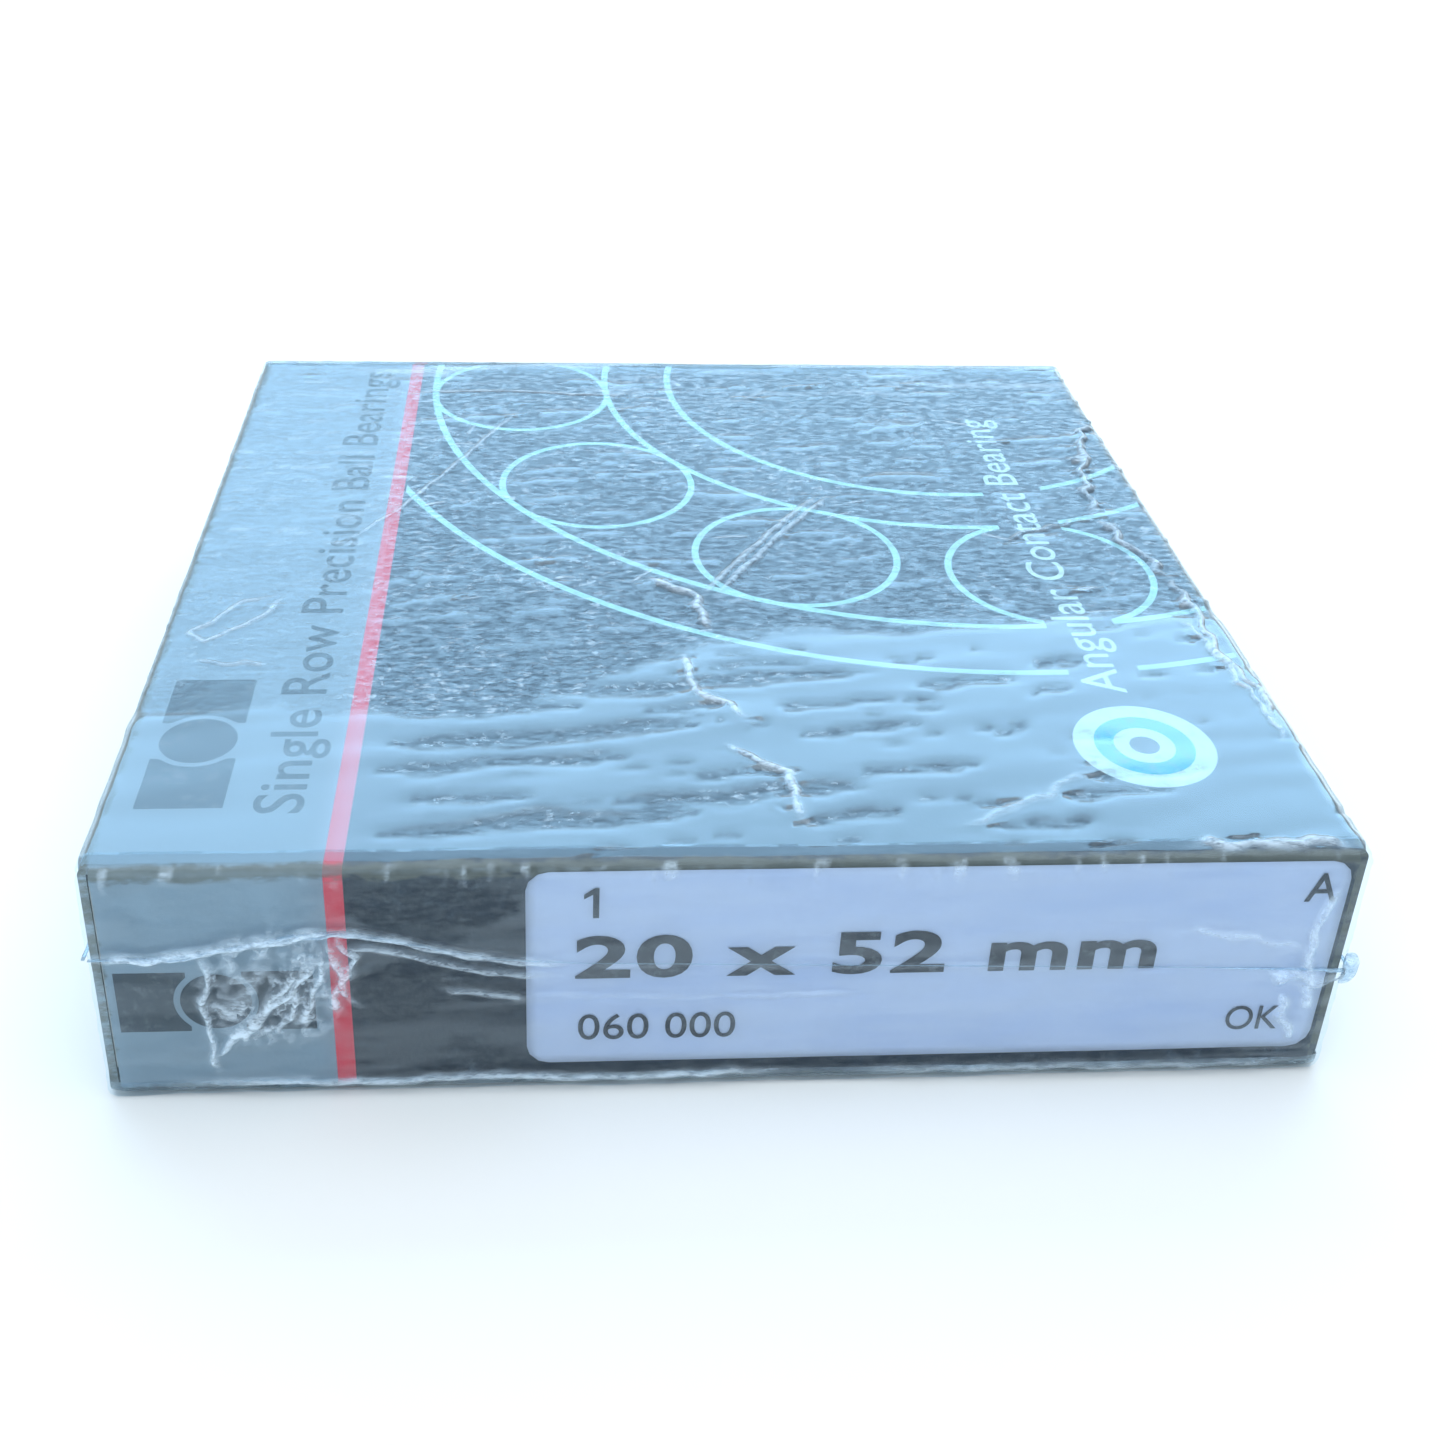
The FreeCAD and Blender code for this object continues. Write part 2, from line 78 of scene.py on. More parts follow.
sleeve_low, sleeve_high = corners_of("carton_sleeve")
front_low, front_high = corners_of("front_closure_panel")
rear_low, rear_high = corners_of("rear_closure_panel")
label_low, label_high = corners_of("product_label")
ring_low, ring_high = corners_of("outer_ring")

HALF_WIDTH = sleeve_high.x
HALF_DEPTH = rear_high.y
TOP, BASE = sleeve_high.z, sleeve_low.z
print(f"carton {2 * HALF_WIDTH:.1f} x {2 * HALF_DEPTH:.1f} x {TOP - BASE:.1f} mm")

# %% [markdown]
# ## Camera
#
# A phone held low and close gives strong perspective: the rear edge looks much shorter than the front one.
# The camera is placed by heading, pitch and roll about the pack's base, then moved back along its own axis.
# A small shift slides the picture without turning the camera, as a cropped print does.

# %% Place the camera
LENS = 43.85
HEADING, PITCH, ROLL = math.radians(4.9), math.radians(28.5), math.radians(2.3)
OFFSET = Vector((0.2, 147.6, -15.2))  # from the camera to the pack's base: right, ahead and up, in millimetres

camera_data = bpy.data.cameras.new("camera")
camera_data.lens = LENS
camera_data.shift_x, camera_data.shift_y = 0.026, -0.115
camera_data.clip_start = 0.01
camera = bpy.data.objects.new("camera", camera_data)
bpy.context.collection.objects.link(camera)
turn = (
    Matrix.Rotation(-HEADING, 3, "Z")
    @ Matrix.Rotation(-PITCH, 3, "X")
    @ Matrix.Rotation(-ROLL, 3, "Y")
)
camera.matrix_world = Matrix.Translation(-(turn @ OFFSET) * MM) @ turn.to_4x4() @ Matrix.Rotation(math.pi / 2, 4, "X")
bpy.context.scene.camera = camera
bpy.context.scene.view_settings.view_transform = "Standard"
print("camera at", [round(v, 4) for v in camera.matrix_world.translation])

# %% [markdown]
# ## Light
#
# Shiny film shows what it mirrors more than it shows itself.  Open shade gives a broad, pale blue sky, so the
# main lamp is one large blue panel behind and above the pack: the top mirrors it at a low angle.  The other
# panels are softer and fill the front end and the floor.

# %% Hang the soft panels and lay the floor
def soft_panel(name, place, size, power, colour):
    """A large area lamp, in metres, that faces the pack."""
    data = bpy.data.lights.new(name, "AREA")
    data.shape = "RECTANGLE"
    data.size, data.size_y = size
    data.energy = power
    data.color = colour
    lamp = bpy.data.objects.new(name, data)
    bpy.context.collection.objects.link(lamp)
    lamp.location = place
    lamp.rotation_euler = (-Vector(place)).to_track_quat("-Z", "Y").to_euler()
    return lamp


soft_panel("sky_behind", (0.0, 1.25, 1.0), (2.6, 1.1), 27, (0.46, 0.74, 1.0))
soft_panel("sky_above", (0.1, -0.1, 1.4), (1.8, 1.8), 17, (0.88, 0.95, 1.0))
soft_panel("fill_front", (-0.5, -1.2, 0.75), (1.2, 0.9), 8.5, (0.68, 0.83, 1.0))

world = bpy.data.worlds.new("open_shade")
world.use_nodes = True
sky = world.node_tree.nodes
direction = sky.new("ShaderNodeTexCoord").outputs["Generated"]
height = sky.new("ShaderNodeSeparateXYZ")
haze = sky.new("ShaderNodeValToRGB")
haze.color_ramp.elements[0].position, haze.color_ramp.elements[0].color = 0.10, (0.96, 0.98, 1.0, 1)
haze.color_ramp.elements[1].position, haze.color_ramp.elements[1].color = 0.34, (0.28, 0.35, 0.42, 1)
world.node_tree.links.new(direction, height.inputs[0])
world.node_tree.links.new(height.outputs["Z"], haze.inputs[0])
world.node_tree.links.new(haze.outputs[0], sky["Background"].inputs["Color"])
bpy.context.scene.world = world

floor_mesh = bmesh.new()
bmesh.ops.create_grid(floor_mesh, x_segments=1, y_segments=1, size=2.4)
floor_data = bpy.data.meshes.new("floor")
floor_mesh.to_mesh(floor_data)
floor_mesh.free()
floor = bpy.data.objects.new("floor", floor_data)
bpy.context.collection.objects.link(floor)

# %% [markdown]
# ## Helpers for materials
#
# A finish is a small network of nodes.  `add` makes one node and fills its inputs with numbers or with other
# nodes' outputs, and `maths` does the same for arithmetic, so a recipe below reads like a list of steps.
# `place_in_mm` gives the shaded point in millimetres: a pattern drawn on it stays put on the object.

# %% Material helpers
def new_finish(name):
    """An empty material, its node tree and its output node."""
    material = bpy.data.materials.new(name)
    material.use_nodes = True
    tree = material.node_tree
    tree.nodes.clear()
    return material, tree, tree.nodes.new("ShaderNodeOutputMaterial")


def add(tree, kind, inputs=None, **settings):
    """One shader node.  inputs maps a socket's name or number to a value or to another socket."""
    node = tree.nodes.new("ShaderNode" + kind)
    for name, value in settings.items():
        setattr(node, name, value)
    for name, value in (inputs or {}).items():
        socket = node.inputs[name]
        if isinstance(value, bpy.types.NodeSocket):
            tree.links.new(value, socket)
        else:
            socket.default_value = value
    return node


def maths(tree, operation, *values):
    """The result of an arithmetic node on numbers and sockets."""
    return add(tree, "Math", dict(enumerate(values)), operation=operation).outputs[0]


def place_in_mm(tree):
    """The shaded point in millimetres, as a vector and as its x, y and z."""
    metres = add(tree, "TexCoord").outputs["Object"]
    scaled = add(tree, "VectorMath", {0: metres, "Scale": 1 / MM}, operation="SCALE").outputs[0]
    parts = add(tree, "SeparateXYZ", {0: scaled}).outputs
    return scaled, parts[0], parts[1], parts[2]


def stretched(tree, vector, scale):
    """A vector scaled differently along x, y and z, so that noise on it runs in streaks."""
    return add(tree, "Mapping", {"Vector": vector, "Scale": scale}).outputs[0]


def cloud(tree, vector, scale, detail=3.0, roughness=0.55):
    """Soft noise between 0 and 1."""
    inputs = {"Vector": vector, "Scale": scale, "Detail": detail, "Roughness": roughness}
    return add(tree, "TexNoise", inputs).outputs[0]


def ramp(tree, value, low, high, out_low=0.0, out_high=1.0):
    """A smooth step from out_low to out_high while value goes from low to high."""
    inputs = {"Value": value, 1: low, 2: high, 3: out_low, 4: out_high}
    return add(tree, "MapRange", inputs, interpolation_type="SMOOTHSTEP").outputs[0]


def blend_colours(tree, share, first, second):
    """A colour between first and second; each is a colour or a socket."""
    node = add(tree, "Mix", data_type="RGBA")
    for socket, value in ((node.inputs[0], share), (node.inputs[6], first), (node.inputs[7], second)):
        if isinstance(value, bpy.types.NodeSocket):
            tree.links.new(value, socket)
        elif isinstance(value, (float, int)):
            socket.default_value = value
        else:
            socket.default_value = (*value, 1)
    return node.outputs[2]


def bump(tree, height, distance_mm, strength=1.0):
    inputs = {"Height": height, "Distance": distance_mm * MM, "Strength": strength}
    return add(tree, "Bump", inputs).outputs[0]


def show(tree, output, shader):
    tree.links.new(shader, output.inputs["Surface"])


# %% Finish the floor
floor_finish, tree, output = new_finish("pale_floor")
paint = add(tree, "BsdfPrincipled", {"Base Color": (0.97, 0.93, 0.88, 1), "Roughness": 0.9})
show(tree, output, paint.outputs[0])
floor_data.materials.append(floor_finish)

# %% [markdown]
# ## Helpers for pieces
#
# Each new piece starts as an empty `bmesh`, is shaped by operators in millimetres, and ends in `make_piece`,
# which scales it to metres, gives it its finish and tells the frame which body it rides on.

# %% Mesh helpers
def make_piece(name, mesh, finish, body, smooth=True):
    """Turns a bmesh in millimetres into a finished object.  body None leaves it on no body."""
    bmesh.ops.scale(mesh, vec=(MM, MM, MM), verts=mesh.verts)
    data = bpy.data.meshes.new(name)
    mesh.to_mesh(data)
    mesh.free()
    data.materials.append(finish)
    data.polygons.foreach_set("use_smooth", [smooth] * len(data.polygons))
    piece = bpy.data.objects.new(name, data)
    bpy.context.collection.objects.link(piece)
    if body:
        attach(piece, body)
    print(f"{name}: {len(data.polygons)} faces")
    return piece


def paint_node(node, finish):
    """Gives a CAD node a finish."""
    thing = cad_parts[node]
    for slot in thing.material_slots:
        slot.material = finish


def sheet_grid(mesh, width, height, step, place):
    """A grid of about step mm in the XY plane, moved by place, a 4x4 matrix.  Returns its vertices."""
    across, along = max(1, round(width / step)), max(1, round(height / step))
    made = bmesh.ops.create_grid(mesh, x_segments=across, y_segments=along, size=0.5)
    bmesh.ops.transform(mesh, matrix=place @ Matrix.Diagonal((width, height, 1, 1)), verts=made["verts"])
    return made["verts"]


def thicken(mesh, thickness):
    """Gives an open sheet a thickness, on the side away from its normals."""
    bmesh.ops.recalc_face_normals(mesh, faces=mesh.faces)
    bmesh.ops.solidify(mesh, geom=mesh.faces[:], thickness=thickness)


# %% [markdown]
# ## Printed board
#
# The carton is folded from one coated board.  Its print is a pale grey band down the left side, a red line,
# and charcoal over the rest.  One finish serves the sleeve and both end panels because the pattern is drawn
# on the place in the pack, not on each piece: the band and the line run unbroken over the folds.
#
# A fold cracks the coating, so raw brown board shows along it.  The distance to the nearest fold is the
# middle one of the distances to the three faces, because the smallest of them is zero on the surface.

# %% Printed board
LINE_X, LINE_WIDTH = -24.2, 1.15
CHARCOAL, BAND_GREY, LINE_RED = (0.021, 0.029, 0.045), (0.30, 0.37, 0.42), (0.93, 0.060, 0.095)
RAW_BOARD, CORE_BROWN = (0.42, 0.41, 0.38), (0.16, 0.155, 0.115)


def printed_board():
    material, tree, output = new_finish("printed_board")
    point, x, y, z = place_in_mm(tree)
    # the artwork
    in_line = maths(tree, "LESS_THAN", maths(tree, "ABSOLUTE", maths(tree, "SUBTRACT", x, LINE_X)), LINE_WIDTH / 2)
    in_band = maths(tree, "LESS_THAN", x, LINE_X)
    specks = cloud(tree, point, 0.9, 6.0, 0.75)
    patches = cloud(tree, point, 0.07, 3.0, 0.6)
    rubbed = maths(tree, "MULTIPLY", ramp(tree, specks, 0.50, 0.72), ramp(tree, patches, 0.38, 0.62))
    charcoal = blend_colours(tree, maths(tree, "MULTIPLY", rubbed, 0.45), CHARCOAL, (0.16, 0.21, 0.27))
    grey = blend_colours(tree, maths(tree, "MULTIPLY", patches, 0.5), BAND_GREY, (0.37, 0.43, 0.46))
    ink = blend_colours(tree, in_band, charcoal, grey)
    ink = blend_colours(tree, in_line, ink, LINE_RED)
    # worn folds
    from_x = maths(tree, "SUBTRACT", HALF_WIDTH, maths(tree, "ABSOLUTE", x))
    from_y = maths(tree, "SUBTRACT", HALF_DEPTH, maths(tree, "ABSOLUTE", y))
    from_z = maths(tree, "MINIMUM", maths(tree, "SUBTRACT", TOP, z), maths(tree, "SUBTRACT", z, BASE))
    total = maths(tree, "ADD", maths(tree, "ADD", from_x, from_y), from_z)
    most = maths(tree, "MAXIMUM", maths(tree, "MAXIMUM", from_x, from_y), from_z)
    least = maths(tree, "MINIMUM", maths(tree, "MINIMUM", from_x, from_y), from_z)
    from_fold = maths(tree, "SUBTRACT", maths(tree, "SUBTRACT", total, most), least)
    ragged = maths(tree, "MULTIPLY", cloud(tree, stretched(tree, point, (0.35, 0.35, 1.0)), 1.3, 5.0, 0.7), 2.1)
    worn = ramp(tree, maths(tree, "SUBTRACT", from_fold, ragged), -0.15, -0.65)
    shown = blend_colours(tree, maths(tree, "MULTIPLY", worn, 0.8), ink, CORE_BROWN)
    # the inner faces and cut edges are bare board
    outer_x = maths(tree, "LESS_THAN", from_x, 0.1)
    outer_y = maths(tree, "LESS_THAN", from_y, 0.1)
    outer_z = maths(tree, "LESS_THAN", from_z, 0.1)
    outside = maths(tree, "MAXIMUM", maths(tree, "MAXIMUM", outer_x, outer_y), outer_z)
    fold_side = maths(tree, "LESS_THAN", from_fold, 0.75)
    outside = maths(tree, "MAXIMUM", outside, fold_side)
    fibres = cloud(tree, stretched(tree, point, (0.4, 2.5, 2.5)), 1.2, 4.0, 0.7)
    bare = blend_colours(tree, fibres, (0.30, 0.29, 0.27), RAW_BOARD)
    colour = blend_colours(tree, outside, bare, shown)
    rough = maths(tree, "ADD", 0.30, maths(tree, "MULTIPLY", maths(tree, "MAXIMUM", worn, rubbed), 0.3))
    rough = maths(tree, "MAXIMUM", rough, maths(tree, "MULTIPLY", maths(tree, "SUBTRACT", 1.0, outside), 0.85))
    grain = bump(tree, cloud(tree, point, 2.2, 4.0, 0.65), 0.03, 0.6)
    board = add(tree, "BsdfPrincipled", {"Base Color": colour, "Roughness": rough, "Normal": grain})
    show(tree, output, board.outputs[0])
    return material


def bare_board():
    material, tree, output = new_finish("bare_board")
    point, x, y, z = place_in_mm(tree)
    fibres = cloud(tree, stretched(tree, point, (0.4, 2.5, 2.5)), 1.2, 4.0, 0.7)
    flecks = ramp(tree, cloud(tree, point, 2.6, 2.0, 0.5), 0.64, 0.72)
    colour = blend_colours(tree, fibres, (0.34, 0.33, 0.30), (0.52, 0.51, 0.47))
    colour = blend_colours(tree, maths(tree, "MULTIPLY", flecks, 0.5), colour, (0.18, 0.16, 0.13))
    grain = bump(tree, fibres, 0.04, 0.7)
    board = add(tree, "BsdfPrincipled", {"Base Color": colour, "Roughness": 0.85, "Normal": grain})
    show(tree, output, board.outputs[0])
    return material


PRINTED, BARE = printed_board(), bare_board()
for node in ("carton_sleeve", "front_closure_panel", "rear_closure_panel"):
    paint_node(node, PRINTED)
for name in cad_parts:
    if name.endswith(("_tuck_flap", "_dust_flap")) or name == "glue_flap":
        paint_node(name, BARE)

# %% [markdown]
# The end panels hinge on the upper folds. In CAD a panel and the sleeve are two boards with a hair's gap
# between them; on the real carton they are one board that turns a soft corner. A thin strip of the same print
# covers the corner. It is a flat grid rounded over a core box: each point keeps its direction from the
# nearest point of the core and takes the fold's radius as its distance.

# %% Rounded corners for anything that hugs the carton
FOLD = 0.6


def hug(point, lift):
    """The place of a point of the carton's box on the carton's rounded surface, lifted off it by lift."""
    core = Vector(
        (
            max(-HALF_WIDTH + FOLD, min(HALF_WIDTH - FOLD, point.x)),
            max(-HALF_DEPTH + FOLD, min(HALF_DEPTH - FOLD, point.y)),
            max(BASE + FOLD, min(TOP - FOLD, point.z)),
        )
    )
    outward = point - core
    return core + outward.normalized() * (FOLD + lift) if outward.length > 1e-6 else core


def fold_strip(end, sign):
    """The printed skin over the upper fold of an end panel.  sign is -1 at the front and +1 at the rear."""
    mesh = bmesh.new()
    across = 2 * (HALF_WIDTH - 0.75)
    lay = Matrix.Translation((0, sign * (HALF_DEPTH - 0.5), TOP))
    sheet_grid(mesh, across, 1.0, 0.125, lay @ Matrix.Diagonal((1, 1, 1, 1)))
    bmesh.ops.remove_doubles(mesh, verts=mesh.verts, dist=1e-4)
    edge = [e for e in mesh.edges if all(abs(v.co.y - sign * HALF_DEPTH) < 1e-3 for v in e.verts)]
    for _ in range(8):
        made = bmesh.ops.extrude_edge_only(mesh, edges=edge)["geom"]
        bmesh.ops.translate(mesh, vec=(0, 0, -0.125), verts=[g for g in made if isinstance(g, bmesh.types.BMVert)])
        edge = [g for g in made if isinstance(g, bmesh.types.BMEdge)]
    for vert in mesh.verts:
        vert.co = hug(vert.co, 0.012)
    bmesh.ops.recalc_face_normals(mesh, faces=mesh.faces)
    strip = make_piece(f"{end}_fold_skin", mesh, PRINTED, None)
    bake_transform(strip)
    return strip


fold_strip("front", -1)
fold_strip("rear", 1)

# %% [markdown]
# ## Printing on the top and the front
#
# Line art could be drawn by the board's own nodes, but thin ink shapes stay crisp at any distance, so they are
# meshes a hundredth of a millimetre thick.  The drawing is a ball bearing seen along its axis: four circles
# about one centre near the rear right corner, and balls between the middle two.  A circle is one short edge
# spun about the centre, then `bisect_plane` trims it where the print ends.

# %% Ink finishes
def ink(name, colour, roughness=0.42):
    """Printed ink: an even colour, thinned here and there where it has rubbed."""
    material, tree, output = new_finish(name)
    point, x, y, z = place_in_mm(tree)
    thin = ramp(tree, cloud(tree, point, 1.1, 6.0, 0.75), 0.50, 0.66)
    paler = tuple(0.66 * c + 0.34 * 0.30 for c in colour)
    tone = blend_colours(tree, thin, colour, paler)
    paint = add(tree, "BsdfPrincipled", {"Base Color": tone, "Roughness": roughness})
    show(tree, output, paint.outputs[0])
    return material


MINT = ink("mint_ink", (0.50, 0.83, 0.80))
WHITE_INK = ink("white_ink", (0.74, 0.88, 0.86))
CYAN_INK = ink("cyan_ink", (0.01, 0.52, 0.66))
DARK_INK = ink("dark_ink", (0.055, 0.068, 0.080))
LABEL_INK = ink("label_ink", (0.045, 0.045, 0.052), 0.6)

# %% Circles of the line drawing
ART_CENTRE = Vector((23.2, 33.9, 0.0))
RING_RADII = (51.8, 45.4, 29.5, 23.5)
BALL_CENTRES, BALL_ART = 37.45, 8.0
FIRST_BALL, BALL_SPACING = -176.0, 31.0  # degrees about the centre
INK = 0.012
TEXT_COLUMN = (25.4, 30.6)


def add_circle(mesh, centre, radius, width, steps):
    """A flat ring in the XY plane, spun from one short edge."""
    inner = mesh.verts.new(centre + Vector((radius - width / 2, 0, 0)))
    outer = mesh.verts.new(centre + Vector((radius + width / 2, 0, 0)))
    edge = mesh.edges.new((inner, outer))
    bmesh.ops.spin(
        mesh, geom=[inner, outer, edge], cent=centre, axis=(0, 0, 1), angle=math.tau, steps=steps, use_merge=True
    )


def trim(mesh, place, outward):
    """Cuts off what lies on the outward side of a plane."""
    everything = mesh.verts[:] + mesh.edges[:] + mesh.faces[:]
    bmesh.ops.bisect_plane(mesh, geom=everything, plane_co=place, plane_no=outward, clear_outer=True)


def clear_column(mesh, left, right, rear):
    """Removes a strip along Y, so that lettering can stand in it."""
    for x in (left, right):
        everything = mesh.verts[:] + mesh.edges[:] + mesh.faces[:]
        bmesh.ops.bisect_plane(mesh, geom=everything, plane_co=(x, 0, 0), plane_no=(1, 0, 0))
    inside = [f for f in mesh.faces if left < f.calc_center_median().x < right and f.calc_center_median().y < rear]
    bmesh.ops.delete(mesh, geom=inside, context="FACES")


def raise_ink(mesh, height=INK):
    """Makes flat shapes into thin solids that stand on the plane they were drawn in."""
    bmesh.ops.remove_doubles(mesh, verts=mesh.verts, dist=1e-4)
    made = bmesh.ops.extrude_face_region(mesh, geom=mesh.faces[:])["geom"]
    bmesh.ops.translate(mesh, vec=(0, 0, height), verts=[g for g in made if isinstance(g, bmesh.types.BMVert)])
    bmesh.ops.recalc_face_normals(mesh, faces=mesh.faces)


CROSSING = 0.004  # the balls are drawn this much higher than the rings, so no two faces share a plane
art = bmesh.new()
for radius in RING_RADII:
    add_circle(art, ART_CENTRE, radius, 0.62, 240)
for ball in range(4):
    angle = math.radians(FIRST_BALL + BALL_SPACING * ball)
    along = Vector((math.cos(angle), math.sin(angle), 0))
    add_circle(art, ART_CENTRE + along * BALL_CENTRES + Vector((0, 0, CROSSING)), BALL_ART, 0.56, 96)
flat = HALF_WIDTH - FOLD
trim(art, (LINE_X + 0.75, 0, 0), (-1, 0, 0))
trim(art, (flat, 0, 0), (1, 0, 0))
trim(art, (0, flat, 0), (0, 1, 0))
clear_column(art, *TEXT_COLUMN, 20.0)
raise_ink(art)
bmesh.ops.translate(art, vec=(0, 0, TOP + 0.002), verts=art.verts)
make_piece("print_bearing_drawing", art, MINT, "carton", smooth=False)

# %% [markdown]
# Lettering starts as a text object.  It is turned into a mesh, stretched to the width and height that the
# printing has, and only then moved to its place.  The words are plain trade terms.

# %% Lettering
ALONG_TOP = Matrix.Rotation(math.pi / 2, 4, "Z")  # reads from the front to the rear
UPRIGHT = Matrix.Rotation(math.pi / 2, 4, "X")  # stands on the front end
TO_THE_FRONT = front_low.y


def lettering(name, words, size, place, finish, body, bold=0.0, slant=0.0, spacing=1.0):
    """Words as a thin solid.  size is (length, height) in millimetres and place puts their lower left corner."""
    curve = bpy.data.curves.new(name, "FONT")
    curve.body = words
    curve.offset = bold
    curve.shear = slant
    curve.space_character = spacing
    curve.resolution_u = 5
    text = bpy.data.objects.new(name + "_text", curve)
    flat_mesh = bpy.data.meshes.new_from_object(text)
    mesh = bmesh.new()
    mesh.from_mesh(flat_mesh)
    bpy.data.objects.remove(text)
    bpy.data.meshes.remove(flat_mesh)
    lows = [min(v.co[i] for v in mesh.verts) for i in (0, 1)]
    highs = [max(v.co[i] for v in mesh.verts) for i in (0, 1)]
    fit = Matrix.Diagonal((size[0] / (highs[0] - lows[0]), size[1] / (highs[1] - lows[1]), 1, 1))
    bmesh.ops.transform(mesh, matrix=fit @ Matrix.Translation((-lows[0], -lows[1], 0)), verts=mesh.verts)
    raise_ink(mesh)
    bmesh.ops.transform(mesh, matrix=place, verts=mesh.verts)
    return make_piece(name, mesh, finish, body, smooth=False)


def on_top(x, y):
    return Matrix.Translation((x, y, TOP + 0.002)) @ ALONG_TOP


def on_front(x, z, proud=0.002):
    return Matrix.Translation((x, TO_THE_FRONT - proud, z)) @ UPRIGHT


lettering(
    "print_band_words", "Single Row Precision Ball Bearings", (70.0, 4.1), on_top(-25.6, -33.4), DARK_INK,
    "carton", bold=0.008, spacing=1.02,
)
lettering(
    "print_white_words", "Angular Contact Bearing", (46.6, 3.9), on_top(29.9, -20.6), WHITE_INK,
    "carton", bold=0.004,
)

# %% [markdown]
# Next to the words stand two signs.  The bold one is the section of a bearing: two blocks with a ball between
# them.  The other is a white disc with a ring and a ball in blue.

# %% Signs
def bearing_sign(length, height):
    """Two bold blocks, each hollowed on its inner side, and a ball between them.  Drawn from the origin."""
    mesh = bmesh.new()
    block, ball = length * 0.36, height * 0.46
    for side in (-1, 1):
        lay = Matrix.Translation((length / 2 + side * (length - block) / 2, height / 2, 0))
        verts = sheet_grid(mesh, block, height, height / 24, lay)
        for vert in verts:
            across = vert.co - Vector((length / 2, height / 2, 0))
            reach = ball * 1.18
            if across.length < reach:
                vert.co.x = length / 2 + side * math.sqrt(max(reach**2 - across.y**2, 0.0))
    bmesh.ops.dissolve_degenerate(mesh, dist=1e-3, edges=mesh.edges)
    centre = Matrix.Translation((length / 2, height / 2, 0))
    bmesh.ops.create_circle(mesh, cap_ends=True, segments=48, radius=ball, matrix=centre)
    raise_ink(mesh)
    return mesh


for name, size, place, body in (
    ("print_band_sign", (14.6, 5.4), on_top(-31.5, -32.8), "carton"),
    ("print_front_sign", (11.9, 4.7), on_front(-37.7, 5.3), "front_closure"),
):
    sign = bearing_sign(*size)
    bmesh.ops.transform(sign, matrix=place, verts=sign.verts)
    make_piece(name, sign, DARK_INK, body, smooth=False)

BADGE = Vector((28.2, -27.0, 0))
disc = bmesh.new()
bmesh.ops.create_circle(disc, cap_ends=True, segments=96, radius=4.75)
raise_ink(disc)
bmesh.ops.translate(disc, vec=BADGE + Vector((0, 0, TOP + 0.002)), verts=disc.verts)
make_piece("print_badge", disc, WHITE_INK, "carton", smooth=False)

badge_ring = bmesh.new()
add_circle(badge_ring, Vector((0, 0, 0)), 2.7, 1.3, 72)
raise_ink(badge_ring)
bmesh.ops.translate(badge_ring, vec=BADGE + Vector((0, 0, TOP + 0.016)), verts=badge_ring.verts)
make_piece("print_badge_ring", badge_ring, CYAN_INK, "carton", smooth=False)

badge_ball = bmesh.new()
bmesh.ops.create_circle(badge_ball, cap_ends=True, segments=40, radius=1.0)
raise_ink(badge_ball)
bmesh.ops.translate(badge_ball, vec=BADGE + Vector((0, 0, TOP + 0.016)), verts=badge_ball.verts)
make_piece("print_badge_ball", badge_ball, DARK_INK, "carton", smooth=False)

# %% [markdown]
# ## Paper label
#
# The label is a rounded rectangle of thin paper.  It was stuck on by hand, so it isn't quite flat: a few low
# waves run through it.  It is a grid trimmed by its four sides, with corners cut by short planes, and moved by
# noise before it gets its thickness.

# %% Label paper
def label_paper():
    material, tree, output = new_finish("label_paper")
    point, x, y, z = place_in_mm(tree)
    fibre = cloud(tree, point, 1.8, 5.0, 0.65)
    # darker, bluer streaks that run across the label: broad along x, narrow in height
    darker_streaks = cloud(tree, stretched(tree, point, (0.05, 1.0, 0.16)), 1.0, 3.0, 0.6)
    colour = blend_colours(tree, fibre, (0.67, 0.68, 0.80), (0.74, 0.75, 0.86))
    colour = blend_colours(tree, ramp(tree, darker_streaks, 0.45, 0.75), colour, (0.60, 0.64, 0.80))
    grain = bump(tree, fibre, 0.02, 0.5)
    paper = add(tree, "BsdfPrincipled", {"Base Color": colour, "Roughness": 0.55, "Normal": grain})
    show(tree, output, paper.outputs[0])
    return material


LABEL_CORNER = 1.5
label_centre, label_size = (label_low + label_high) / 2, label_high - label_low
paper = bmesh.new()
sheet_grid(paper, label_size.x, label_size.z, 0.7, Matrix.Identity(4))
half_x, half_z = label_size.x / 2, label_size.z / 2
for side_x in (-1, 1):
    for side_z in (-1, 1):
        centre = Vector((side_x * (half_x - LABEL_CORNER), side_z * (half_z - LABEL_CORNER), 0))
        for angle in (15, 45, 75):
            away = Vector((side_x * math.cos(math.radians(angle)), side_z * math.sin(math.radians(angle)), 0))
            trim(paper, centre + away * LABEL_CORNER * 0.985, away)
for vert in paper.verts:
    wave = noise.fractal(Vector((vert.co.x / 16, vert.co.y / 5, 3.1)), 0.8, 2.0, 3)
    vert.co.z = 0.05 + 0.035 * wave
thicken(paper, 0.02)
stand = Matrix.Translation((label_centre.x, TO_THE_FRONT - 0.03, label_centre.z)) @ UPRIGHT
bmesh.ops.transform(paper, matrix=stand, verts=paper.verts)
label = make_piece("label_sheet", paper, label_paper(), "front_closure")
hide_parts("product_label")

